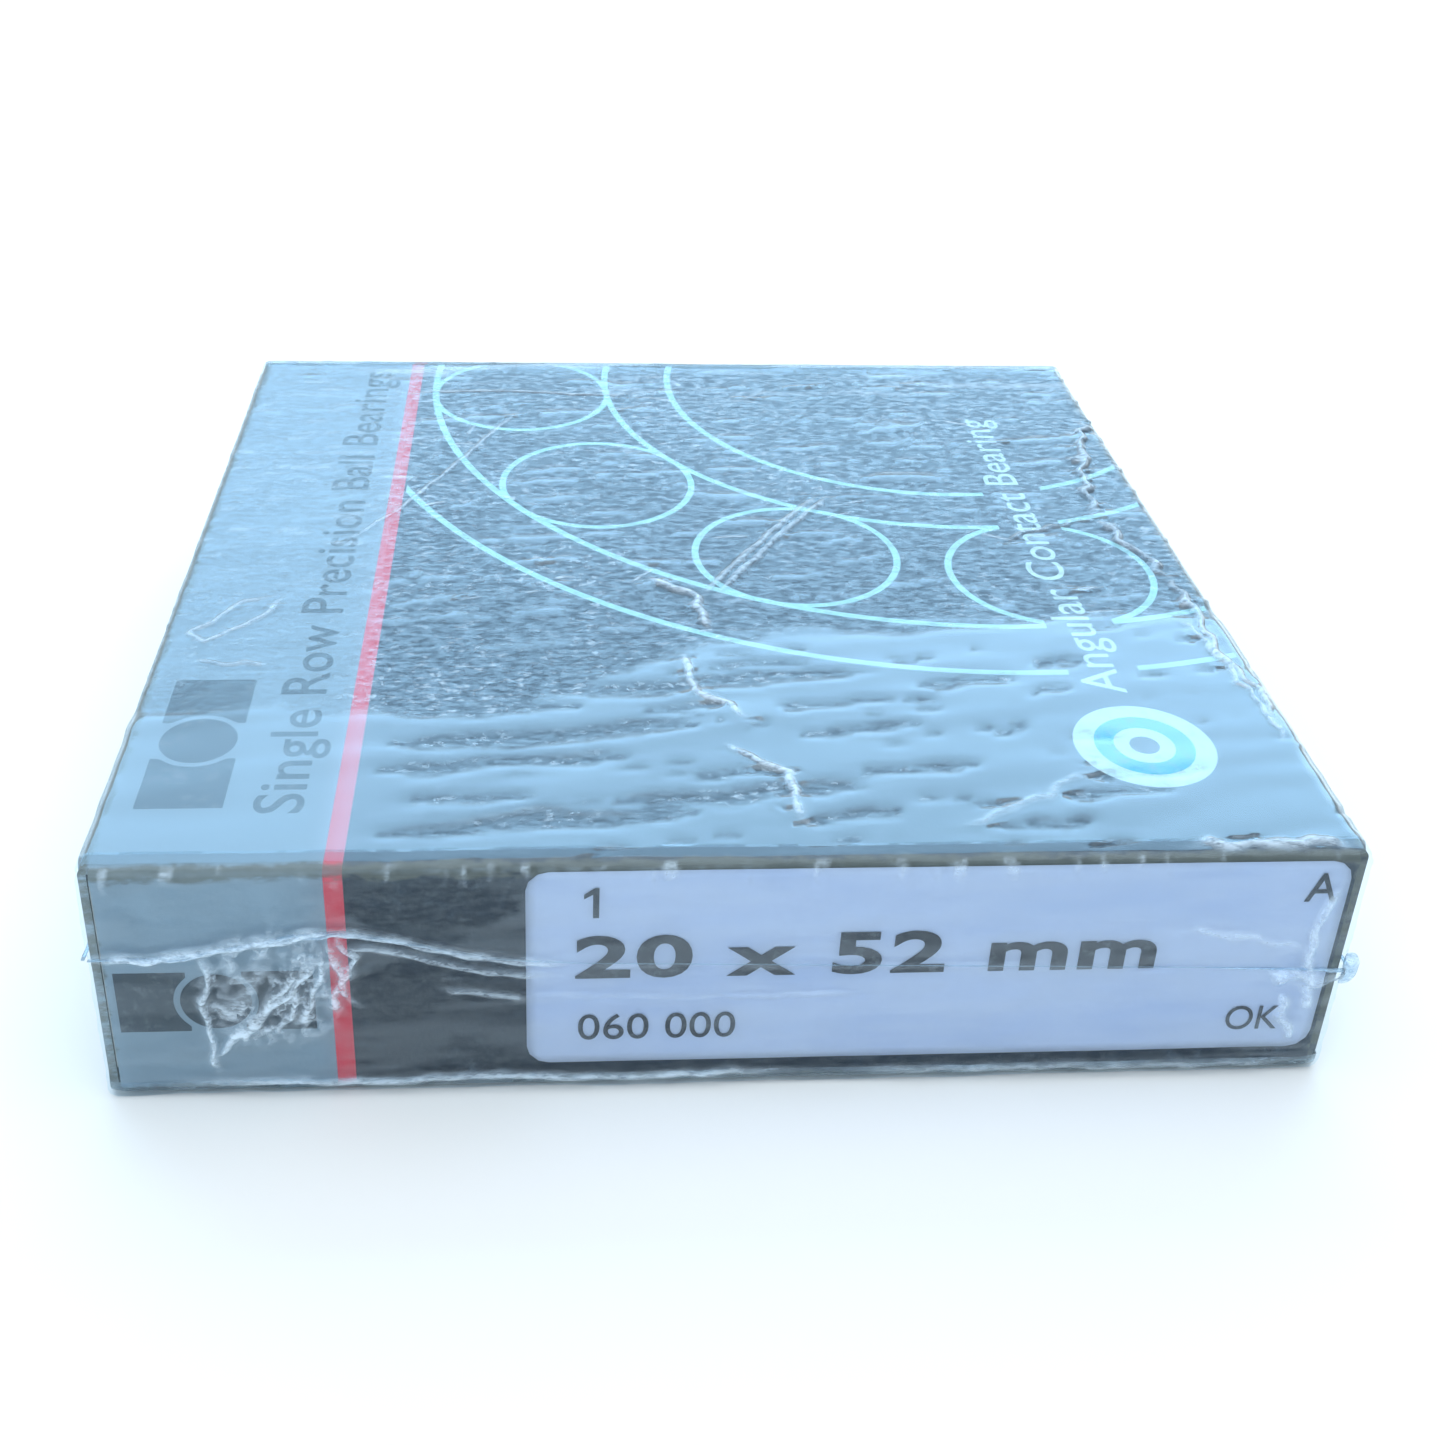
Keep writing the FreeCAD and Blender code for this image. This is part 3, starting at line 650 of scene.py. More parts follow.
ON_LABEL = 0.125
for name, words, size, x, z, bold, spacing in (
    ("label_size", "20 x 52 mm", (36.4, 3.4), -9.9, 9.0, 0.026, 1.08),
    ("label_angle", "060 000", (9.9, 2.1), -9.7, 4.0, 0.0, 1.0),
    ("label_grade", "A", (2.0, 2.2), 35.2, 14.2, 0.006, 1.0),
    ("label_passed", "OK", (3.5, 2.0), 32.0, 3.7, 0.0, 1.0),
):
    lettering(
        name, words, size, on_front(x, z, ON_LABEL), LABEL_INK, "front_closure",
        bold=bold, spacing=spacing,
    )

one = bmesh.new()
strokes = [(0.55, 0), (0.92, 0), (0.92, 2.3), (0.66, 2.3), (0, 1.80), (0, 1.45), (0.55, 1.80)]
one.faces.new([one.verts.new((x, y, 0)) for x, y in strokes])
raise_ink(one)
bmesh.ops.transform(one, matrix=on_front(-9.4, 13.8, ON_LABEL), verts=one.verts)
make_piece("label_count", one, LABEL_INK, "front_closure", smooth=False)

# %% [markdown]
# ## Shrink film
#
# The film is what makes this pack look real.  It is a sheet as thin as a hair that was shrunk with hot air, so
# it is tight in some places and folded, pinched or bridged in others.  Bump in a material can't do it: the
# folds cast reflections that slide over several millimetres.  So the film is a fine grid round the carton, and
# each point is lifted off the board by a height made of three parts:
#
# * a fine ripple everywhere, and stretch marks that run along one axis;
# * long soft folds where the film is loose;
# * creases, which are lines drawn on the face with a height and a width.
#
# Where a crease is sharp the grid is divided finer first.  The height of the pinching is kept with the mesh as
# an attribute, because pinched film goes milky.

# %% Heights of a sheet of film
def distances(points, line):
    """How far each point is from a line through several corners, and how far along the line (0 to 1) that is."""
    line = np.array(line, float)
    lengths = np.hypot(*(line[1:] - line[:-1]).T)
    start, nearest, along = 0.0, np.full(len(points), 1e9), np.zeros(len(points))
    for a, b, length in zip(line[:-1], line[1:], lengths):
        share = np.clip(((points - a) @ (b - a)) / length**2, 0, 1)
        gap = np.hypot(*(points - a - share[:, None] * (b - a)).T)
        closer = gap < nearest
        nearest[closer] = gap[closer]
        along[closer] = (start + share[closer] * length) / lengths.sum()
        start += length
    return nearest, along


def fractal_at(places, scale, seed, octaves=4, rough=0.7):
    """Fractal noise at each place, about -1 to 1, with a length scale in millimetres for x, y and z."""
    return np.array(
        [
            noise.fractal(Vector((p[0] / scale[0] + seed, p[1] / scale[1], p[2] / scale[2])), rough, 2.1, octaves)
            for p in places
        ]
    )


def soft_step(values, low, high):
    share = np.clip((values - low) / (high - low), 0, 1)
    return share * share * (3 - 2 * share)


def crease_heights(flat, creases, seed):
    """The lift and the milkiness that a list of creases gives to points on a face."""
    jitter = np.array(
        [noise.noise_vector(Vector((p[0] / 1.7, p[1] / 1.7, seed)))[:2] for p in flat]
    )
    lift, milk = np.zeros(len(flat)), np.zeros(len(flat))
    for line, height, width, wander, milky in creases:
        gap, along = distances(flat + jitter * wander, line)
        fade = np.clip(np.sin(np.pi * np.clip(along, 0.02, 0.98)) * 2.5, 0, 1)
        crest = np.exp(-((gap / width) ** 1.5)) * fade
        lift = np.maximum(lift, height * crest)
        milk = np.maximum(milk, milky * np.exp(-((gap / (width * 0.75)) ** 2)) * fade)
    return lift, milk


def refine(mesh, flat_of, creases, reach, cuts=1):
    """Divides the faces near the creases."""
    middles = [(e, flat_of((e.verts[0].co + e.verts[1].co) / 2)) for e in mesh.edges]
    near = np.zeros(len(middles), bool)
    places = np.array([m for _, m in middles])
    for line, _, width, _, _ in creases:
        near |= distances(places, line)[0] < reach + width
    chosen = [e for (e, _), hit in zip(middles, near) if hit]
    if chosen:
        bmesh.ops.subdivide_edges(mesh, edges=chosen, cuts=cuts, use_grid_fill=True)


def dress(mesh, lift, milk, loose, gap):
    """Moves every point of a box-shaped sheet onto the rounded carton.  Milkiness and looseness stay with it."""
    pinch, slack = mesh.verts.layers.float.new("pinch"), mesh.verts.layers.float.new("loose")
    for vert, up, white, free in zip(mesh.verts, lift, milk, loose):
        vert[pinch], vert[slack] = float(white), float(free)
        vert.co = hug(vert.co, gap + max(float(up), 0.0))


# %% [markdown]
# Film is nearly clear.  Its finish mixes a see-through shader with a mirror-like one by Fresnel, which is what
# makes film vanish face-on and shine at a low angle.  A third, milky shader comes in where the film is pinched
# or scuffed.  Fine scratches and haze are bump and noise on the place in the pack.

# %% Film finish
def clear_film(name, shine=1.0, haze=1.0, tint=(0.88, 0.955, 1.0), scuffed=True):
    material, tree, output = new_finish(name)
    point, x, y, z = place_in_mm(tree)
    loose = add(tree, "Attribute", attribute_name="loose").outputs["Fac"]
    pinch = add(tree, "Attribute", attribute_name="pinch").outputs["Fac"]
    touching = maths(tree, "SUBTRACT", 1.0, loose)
    # film that touches the board takes up its grain; loose film is smooth
    grain = cloud(tree, stretched(tree, point, (0.6, 1.5, 1.5)), 1.5, 6.0, 0.72)
    pressed = maths(tree, "MULTIPLY", grain, maths(tree, "ADD", maths(tree, "MULTIPLY", touching, 0.9), 0.1))
    skin = bump(tree, pressed, 0.030, 0.5)
    fresnel = add(tree, "Fresnel", {"IOR": 1.5, "Normal": skin}).outputs[0]
    patchy = ramp(tree, grain, 0.38, 0.64, 0.55, 1.35)
    held = maths(tree, "MULTIPLY", patchy, 1.9)
    gloss = maths(tree, "ADD", maths(tree, "MULTIPLY", touching, held), maths(tree, "MULTIPLY", loose, 2.9))
    off_band = ramp(tree, x, LINE_X - 1.5, LINE_X + 0.5, 0.64, 1.0)  # over the band the film lies closer
    gloss = maths(tree, "MULTIPLY", gloss, off_band)
    mirror_share = maths(tree, "MINIMUM", maths(tree, "MULTIPLY", maths(tree, "MULTIPLY", fresnel, gloss), shine), 0.85)
    clear = add(tree, "BsdfTransparent", {"Color": (*tint, 1)})
    mirror = add(
        tree, "BsdfPrincipled",
        {
            "Base Color": (0.80, 0.93, 1.0, 1), "Metallic": 1.0, "Normal": skin,
            "Roughness": maths(tree, "ADD", maths(tree, "MULTIPLY", touching, 0.16), 0.13),
        },
    )
    film = add(tree, "MixShader", {0: mirror_share, 1: clear.outputs[0], 2: mirror.outputs[0]})
    # pinched film goes milky, and so do scuffs where it rubs on the board
    streaks = cloud(tree, stretched(tree, point, (0.5, 1.6, 1.6)), 2.0, 4.0, 0.7)
    white = maths(tree, "MULTIPLY", pinch, ramp(tree, streaks, 0.34, 0.62, 0.35, 1.0))
    white = maths(tree, "ADD", white, maths(tree, "MULTIPLY", loose, 0.045))
    if scuffed:
        flecks = ramp(tree, cloud(tree, stretched(tree, point, (0.8, 1.3, 1.3)), 1.25, 6.0, 0.8), 0.52, 0.63)
        areas = ramp(tree, cloud(tree, point, 0.085, 3.0, 0.6), 0.40, 0.58, 0.25, 1.0)
        scuffs = maths(tree, "MULTIPLY", maths(tree, "MULTIPLY", flecks, areas), maths(tree, "MULTIPLY", maths(tree, "MULTIPLY", touching, off_band), 0.40))
        white = maths(tree, "ADD", white, scuffs)
    white = maths(tree, "MINIMUM", maths(tree, "MULTIPLY", white, haze), 0.92)
    milky = add(
        tree, "BsdfPrincipled",
        {"Base Color": (0.74, 0.87, 0.97, 1), "Roughness": 0.25, "Normal": skin},
    )
    whole = add(tree, "MixShader", {0: white, 1: film.outputs[0], 2: milky.outputs[0]})
    show(tree, output, whole.outputs[0])
    return material


FILM = clear_film("shrink_film")
END_FILM = clear_film("shrink_film_over_ends", shine=0.55, scuffed=False)

# %% [markdown]
# The first sheet covers the top and both long sides in one piece, as on the real pack.  It starts as a flat
# grid over the top, and its side edges are extruded downwards row by row.

# %% Film over the top and the sides
SETBACK = 1.35


def wandering(start, end, corners, swing, seed):
    """A line from start to end that steps aside by up to swing at each of its inner corners."""
    chance = random.Random(seed)
    start, end = Vector(start), Vector(end)
    aside = Vector((start.y - end.y, end.x - start.x)).normalized()
    inner = [
        start.lerp(end, corner / (corners - 1)) + aside * chance.uniform(-swing, swing)
        for corner in range(1, corners - 1)
    ]
    return [tuple(point) for point in (start, *inner, end)]


def top_creases():
    """The creases on the top, each a line on the face, a height, a width, a wander and a milkiness."""
    fold = HALF_WIDTH - 1
    found = []
    # a broken zigzag runs from the middle to the front edge
    for stroke in range(3):
        x, y = 2 * stroke - 4, -4 - 11.5 * stroke
        found.append((wandering((x, y), (x + 4, y - 8), 3, 2.4, stroke), 0.35, 0.34, 0.5, 0.8))
    # two scratches side by side end where the zigzag starts
    for shift in (0, 1):
        found.append((wandering((11 + shift, 10), (shift, -7), 3, 0.4, 4), 0.25, 0.32, 0.15, 0.5))
    # hair-fine lines in the rear half
    found.append((wandering((-14, 28), (-28, 1), 5, 1.5, 5), 0.16, 0.20, 0.15, 0.5))
    found.append((wandering((-25, 31), (-3, 31), 5, 1.2, 6), 0.18, 0.24, 0.3, 0.5))
    # the film is crumpled along the right-hand fold
    found.append((wandering((fold, 26), (fold - 4, 6), 4, 1.0, 7), 0.42, 0.40, 0.9, 0.6))
    found.append((wandering((fold - 4, 6), (fold - 1, -4), 3, 0.8, 8), 0.42, 0.40, 0.9, 0.6))
    found.append((wandering((fold - 1, -4), (fold, -26), 6, 0.9, 9), 0.42, 0.40, 0.9, 0.7))
    found.append((wandering((fold - 2, -11), (fold, -27), 5, 0.9, 10), 0.34, 0.30, 0.9, 0.65))
    found.append((wandering((fold - 4, 6), (25, 2), 3, 0.6, 11), 0.20, 0.30, 0.6, 0.25))
    # a loop like a leaf lies on the band
    turns = [math.tau * step / 5 for step in range(6)]
    leaf = [(-34 + 3 * math.cos(t) + math.sin(t), -10 + 3.5 * math.cos(t) - math.sin(t)) for t in turns]
    found.append((leaf, 0.22, 0.26, 0.3, 0.5))
    found.append((wandering((-36, -16), (-31, -17), 4, 1.2, 12), 0.22, 0.26, 0.5, 0.4))
    # gathers towards the front right corner
    found.append(([(28, -38), (fold, -38)], 0.42, 0.50, 0.6, 0.75))
    found.append((wandering((14, -36), (24, -30), 3, 0.4, 13), 0.24, 0.45, 0.5, 0.3))
    nicks = random.Random(7)
    for _ in range(26):
        x, y = nicks.uniform(-22, 30), nicks.uniform(-12, 36)
        length, heading = nicks.uniform(0.8, 3.6), nicks.gauss(0.2, 0.6)
        end = (x + length * math.cos(heading), y + length * math.sin(heading))
        found.append(([(x, y), end], 0.10, 0.16, 0.1, nicks.uniform(0.3, 0.8)))
    return found


def clinging_rows():
    """Where the loose front part of the top lies on the board: slanting lenses, each a line and a half width."""
    chance = random.Random(5)
    found = []
    for row in range(7):
        y, x = -36 + 3.2 * row, LINE_X + chance.uniform(0.5, 3)
        while x < 24:
            # the lenses are long and broad on the left, and short on the right
            length = chance.uniform(8, 24) if x < -6 else chance.uniform(3, 9)
            line = wandering((x, y), (x + length, y + 0.10 * length), 5, 0.35, row + x)
            found.append((line, 0.22 + 0.032 * length))
            x += length + chance.uniform(1.5, 7)
            y += chance.uniform(-0.6, 0.9)
    return found


TOP_CREASES, TOUCHING = top_creases(), clinging_rows()


def slackness(places):
    """How loose the film over the top is, from 0 where it clings to the board to 1 where it stands clear."""
    x, y = places[:, 0], places[:, 1]
    flat = places[:, :2]
    drift = np.array([noise.noise_vector(Vector((p[0] / 4.0, p[1] / 2.5, 7.0)))[:2] for p in flat])
    border = -12.5 - 9.5 * soft_step(-x, -4.0, 16.0) + 3.0 * soft_step(x, 14.0, 30.0) + 1.4 * drift[:, 0]
    loose = soft_step(border - y, -0.6, 1.6)
    for line, half_width in TOUCHING:
        gap, along = distances(flat + drift * 0.7, line)
        fade = np.clip(np.sin(np.pi * np.clip(along, 0.02, 0.98)) * 1.8, 0.15, 1)
        loose = loose * (1 - 0.92 * (1 - soft_step(gap, half_width * 0.45 * fade, half_width * 1.35 * fade)))
    slanted = np.column_stack([x, y - 0.14 * x, np.zeros(len(x))])
    short = fractal_at(slanted, (5.5, 0.9, 9.0), 71.0, 2, 0.9)
    loose = loose * (1 - 0.75 * soft_step(short, 0.42, 0.62) * soft_step(x, -30.0, 6.0))
    smears = fractal_at(slanted, (8.0, 1.15, 9.0), 83.0, 3, 0.9)
    rear = 0.75 * soft_step(smears, 0.30, 0.52) * soft_step(y, -24.0, -6.0)
    edge = 0.6 * soft_step(y + 1.2 * drift[:, 1], 35.5, 38.0)
    band = 0.45 * soft_step(-x, 23.8, 25.2) * (0.85 + 0.4 * fractal_at(places, (9.0, 3.0, 9.0), 91.0, 3, 0.8))
    return np.clip(np.maximum(np.maximum(loose, rear), np.maximum(edge, band)), 0, 1)


def top_height(places):
    """The lift, the milkiness and the looseness of the film over the top."""
    x, y = places[:, 0], places[:, 1]
    flat = places[:, :2]
    loose = slackness(places)
    slanted = np.column_stack([x, y - 0.16 * x, np.zeros(len(x))])
    folds = np.abs(fractal_at(slanted, (24.0, 4.4, 9.0), 4.0, 2, 0.9))
    ripple = fractal_at(places, (7.0, 2.3, 5.0), 11.0, 4, 0.6)
    rear = soft_step(y, 27.0, 37.0)
    gathers = np.abs(fractal_at(places, (17.0, 1.7, 5.0), 23.0, 2, 0.8))
    marks = soft_step(-x, 20.5, 24.0) * soft_step(32.0 - x, 2.0, 6.0) * soft_step(y, -8.0, 2.0)
    stretch = np.abs(fractal_at(places, (4.5, 0.8, 5.0), 31.0, 3, 0.7))
    lift = 0.03 + 0.14 * loose + 0.12 * loose * folds + 0.014 * (1 + ripple) + 0.07 * rear * gathers
    lift = lift + 0.035 * marks * stretch
    crest, milk = crease_heights(flat, TOP_CREASES, 2.0)
    milk = np.maximum(milk, 0.40 * rear * soft_step(gathers, 0.35, 0.75))
    milk = np.maximum(milk, 0.25 * marks * soft_step(stretch, 0.5, 0.9))
    return np.maximum(lift, crest) + 0.15 * crest, milk, loose


def side_height(places):
    """The lift, the milkiness and the looseness of the film down a long side."""
    seam = 8.8 + 0.8 * np.sin(places[:, 1] / 9.0) + 0.5 * fractal_at(places, (9.0, 6.0, 30.0), 5.0, 2)
    pinched = np.exp(-(((places[:, 2] - seam) / 0.45) ** 2))
    ripple = np.abs(fractal_at(places, (6.0, 3.0, 9.0), 17.0, 4, 0.7))
    return 0.04 + 0.16 * ripple + 0.18 * pinched, 0.5 * pinched, np.clip(0.2 + ripple, 0, 1)


wrap = bmesh.new()
sheet_grid(wrap, 2 * HALF_WIDTH, 2 * (HALF_DEPTH - SETBACK), 0.6, Matrix.Translation((0, 0, TOP)))
edge = [e for e in wrap.edges if e.is_boundary and all(abs(abs(v.co.x) - HALF_WIDTH) < 1e-3 for v in e.verts)]
rows = 28
for row in range(rows):
    made = bmesh.ops.extrude_edge_only(wrap, edges=edge)["geom"]
    down = (TOP - BASE) / rows
    bmesh.ops.translate(wrap, vec=(0, 0, -down), verts=[g for g in made if isinstance(g, bmesh.types.BMVert)])
    edge = [g for g in made if isinstance(g, bmesh.types.BMEdge)]
for reach in (0.8, 0.45):
    refine(wrap, lambda p: (p.x, p.y) if p.z > TOP - 0.01 else (999.0, 999.0), TOP_CREASES, reach)
places = np.array([v.co[:] for v in wrap.verts])
on_top_face = places[:, 2] > TOP - 0.01
film = np.zeros((3, len(places)))
film[:, on_top_face] = top_height(places[on_top_face])
film[:, ~on_top_face] = side_height(places[~on_top_face])
dress(wrap, *film, gap=0.07)
bmesh.ops.recalc_face_normals(wrap, faces=wrap.faces)
film_wrap = make_piece("film_over_top_and_sides", wrap, FILM, "carton")
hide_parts("film_top_sheet", "film_left_sheet", "film_right_sheet")

# %% [markdown]
# On the real pack the film over an end panel is slit along the panel's free edges, so it opens with the panel; here the
# sheet rides on no body.  It begins on the top, bends over the fold and hangs down the end.  At the front it is badly
# gathered: the weld between the upper and lower webs wanders across the left half and bunches up beside the red line.

# %% Film over the ends
def front_seam(x):
    """The height of the weld across the front end: it falls to the right, with a hump at the red line."""
    return 11.3 - 0.032 * (x + HALF_WIDTH) + 2.4 * math.exp(-(((x - LINE_X) / 7.0) ** 2))


def along_seam(left, right, drop=0.0):
    """Points on the front end along the weld, or drop below it."""
    return [(x, front_seam(x) - drop) for x in np.linspace(left, right, 1 + round((right - left) / 3))]


def front_creases():
    """The creases on the front end, as top_creases gives them, with lines in x and z."""
    free, knot = label_low.x, front_seam(LINE_X)
    found = [
        (along_seam(-HALF_WIDTH, LINE_X + 1), 0.50, 0.42, 0.5, 0.80),
        (along_seam(LINE_X - 2, free + 3), 0.45, 0.34, 0.2, 0.55),
        (along_seam(LINE_X - 1, free + 2, 1.0), 0.40, 0.30, 0.2, 0.50),
        (along_seam(free, 27), 0.16, 0.30, 0.3, 0.10),
        (wandering((-18, 8.5), (free, 7.5), 3, 0.3, 20), 0.30, 0.30, 0.2, 0.45),
        (wandering((free, 8), (9, 7.5), 3, 0.3, 21), 0.14, 0.26, 0.3, 0.16),
    ]
    # strands fan out from a knot beside the red line, and one hangs straight down further left
    for strand in range(6):
        start = (LINE_X - 0.5 * strand, knot - 0.3 - 0.5 * strand)
        end = (LINE_X + 1 - 1.8 * strand, 7.5 - 0.8 * strand)
        found.append((wandering(start, end, 4, 0.9, 22 + strand), 0.54, 0.37, 0.7, 0.78))
    found.append((wandering((-32, front_seam(-32)), (-32, 2), 3, 0.6, 28), 0.50, 0.34, 0.5, 0.75))
    # gathers along the lower fold
    found.append((wandering((-35, 1.2), (4, 1.2), 7, 0.4, 29), 0.35, 0.34, 0.2, 0.60))
    found.append((wandering((8, 1.1), (38, 1.1), 4, 0.2, 30), 0.30, 0.34, 0.3, 0.35))
    # the right-hand corner is drawn in towards the ear
    found.append((wandering((37, 15.5), (37, 5), 4, 0.7, 31), 0.40, 0.45, 0.6, 0.55))
    found.append((wandering((34, 8.5), (39.4, 8.8), 3, 0.5, 32), 0.60, 0.50, 0.8, 0.40))
    found.append((wandering((35, 7), (36.5, 3), 3, 0.4, 33), 0.45, 0.50, 0.8, 0.50))
    found.append((wandering((28, 12.5), (36, 10.5), 3, 0.4, 34), 0.25, 0.34, 0.6, 0.30))
    return found


FRONT_CREASES = front_creases()
FRONT_CLINGING = [
    # where the film lies on the front panel: line (x, z), half width
    ([(LINE_X + 1, 9.5), (-18, 10.5), (label_low.x, 9.5)], 0.85),
    ([(-17.5, 8), (label_low.x, 8)], 0.45),
    ([(LINE_X, 15), (label_low.x, 15)], 1.6),
    ([(-37.5, 15), (LINE_X - 1, 15)], 1.6),
    ([(LINE_X + 1, 2), (38, 2)], 0.5),
]

REAR_CREASES = [
    ([(-39.0, 9.0), (-24.0, 8.4), (-8.0, 9.4), (8.0, 8.6)], 0.40, 0.40, 0.6, 0.6),
    ([(8.0, 8.6), (20.0, 9.6), (39.0, 8.8)], 0.40, 0.40, 0.6, 0.6),
    ([(-30.0, 1.4), (-12.0, 1.0), (6.0, 1.6)], 0.25, 0.34, 0.4, 0.4),
    ([(14.0, 14.0), (17.0, 10.5), (15.0, 6.0)], 0.35, 0.34, 0.7, 0.5),
]


def end_height(places, creases, bunches, clinging, seed):
    """The lift, the milkiness and the looseness of the film over an end and the strip of top that goes with it."""
    z = places[:, 2]
    over_fold = soft_step(z, TOP - 1.6, TOP - 0.1)
    ripple = np.abs(fractal_at(places, (12.0, 5.0, 2.2), seed, 4, 0.7))
    broad = np.abs(fractal_at(places, (20.0, 9.0, 6.0), seed + 7, 2, 0.8))
    gathers = np.abs(fractal_at(places, (1.6, 5.0, 5.0), seed + 13, 3, 0.7))
    slack = fractal_at(places, (9.0, 5.0, 1.5), seed + 29, 2, 0.9)
    loose = np.clip(0.30 + soft_step(slack, -0.20, 0.20), 0, 1) * (1 - 0.6 * over_fold)
    for line, half_width in clinging:
        gap, along = distances(places[:, [0, 2]] + 0.25 * slack[:, None], line)
        thin = half_width * np.clip(np.sin(np.pi * np.clip(along, 0.02, 0.98)) * 1.6, 0.1, 1)
        loose = loose * soft_step(gap, 0.75 * thin, 1.15 * thin + 0.05)
    crumple = np.zeros(len(places))
    for middle, spread in bunches:
        away = np.hypot((places[:, 0] - middle[0]) / spread[0], (z - middle[1]) / spread[1])
        ridges = 1 - np.abs(fractal_at(places, (1.9, 5.0, 2.6), seed + 41, 4, 0.6)) * 2.2
        crumple = np.maximum(crumple, np.clip(ridges, 0, 1) ** 2 * (1 - soft_step(away, 0.55, 1.0)))
    lift = 0.02 + 0.10 * ripple + 0.12 * broad * (1 - over_fold) + 0.10 * over_fold * gathers + 0.06 * loose
    lift = lift + 0.34 * crumple
    crest, milk = crease_heights(places[:, [0, 2]], creases, seed)
    milk = np.maximum(milk, 0.40 * over_fold * soft_step(gathers, 0.55, 0.85))
    milk = np.maximum(milk, 0.62 * crumple)
    return np.maximum(lift, crest) + 0.2 * crest, milk, loose


def end_film(end, sign, creases, bunches, clinging, seed):
    mesh = bmesh.new()
    height = TOP - BASE - 0.05
    stand = Matrix.Translation((0, sign * HALF_DEPTH, TOP - height / 2)) @ UPRIGHT
    sheet_grid(mesh, 2 * HALF_WIDTH, height, 0.5, stand)
    edge = [e for e in mesh.edges if all(abs(v.co.z - TOP) < 1e-3 for v in e.verts)]
    for _ in range(5):
        made = bmesh.ops.extrude_edge_only(mesh, edges=edge)["geom"]
        back = -sign * (SETBACK + 0.25) / 5
        bmesh.ops.translate(mesh, vec=(0, back, 0), verts=[g for g in made if isinstance(g, bmesh.types.BMVert)])
        edge = [g for g in made if isinstance(g, bmesh.types.BMEdge)]
    rounding = [e for e in mesh.edges if all(v.co.z > TOP - 1.2 for v in e.verts)]
    bmesh.ops.subdivide_edges(mesh, edges=rounding, cuts=1, use_grid_fill=True)
    for reach in (0.7, 0.4):
        refine(mesh, lambda p: (p.x, p.z), creases, reach)
    places = np.array([v.co[:] for v in mesh.verts])
    lift, milk, loose = end_height(places, creases, bunches, clinging, seed)
    hanging = soft_step(np.abs(places[:, 1]), HALF_DEPTH - 0.5, HALF_DEPTH)
    top = np.array(top_height(places))
    mixed = top + (np.array([lift, milk, loose]) - top) * hanging
    mixed[0] += 0.10 * hanging
    dress(mesh, *mixed, gap=0.07)
    bmesh.ops.recalc_face_normals(mesh, faces=mesh.faces)
    film = make_piece(f"film_over_{end}", mesh, END_FILM, None)
    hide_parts(f"{end}_film_panel")
    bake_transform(film)
    return film


end_film("front", -1, FRONT_CREASES, [((LINE_X - 4, 9), (5.4, 5.6))], FRONT_CLINGING, 3.0)
end_film("rear", 1, REAR_CREASES, [((16.0, 8.8), (7.0, 2.5))], [], 61.0)

# %% [markdown]
# The last sheet lies under the pack.  It clings all over, because the pack's weight presses on it, and its
# edges turn up round the lower folds.

# %% Film under the pack
under = bmesh.new()
sheet_grid(under, 2 * HALF_WIDTH, 2 * HALF_DEPTH, 1.0, Matrix.Translation((0, 0, BASE)))
edge = [e for e in under.edges if e.is_boundary]
for _ in range(3):
    made = bmesh.ops.extrude_edge_only(under, edges=edge)["geom"]
    bmesh.ops.translate(under, vec=(0, 0, 0.35), verts=[g for g in made if isinstance(g, bmesh.types.BMVert)])
    edge = [g for g in made if isinstance(g, bmesh.types.BMEdge)]
places = np.array([v.co[:] for v in under.verts])
ripple = np.abs(fractal_at(places, (6.0, 3.0, 3.0), 51.0, 3, 0.7)) * soft_step(places[:, 2], BASE, BASE + 0.5)
dress(under, 0.10 * ripple, 0.3 * ripple, 0.3 * ripple, gap=0.05)
bmesh.ops.recalc_face_normals(under, faces=under.faces)
film_under = make_piece("film_under_the_pack", under, FILM, "carton")
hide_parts("film_bottom_sheet")

# %% [markdown]
# The two webs of film were welded together by a hot wire, which leaves a thin lip of fused film.  It stands
# off the pack at about half its height, curls, and goes round the corners in a small ear.  Each lip is a
# narrow grid that follows a line, leans up or down by noise and has a real thickness.

# %% Weld lips
WELD = clear_film("film_weld", shine=1.0, haze=1.4, scuffed=False)


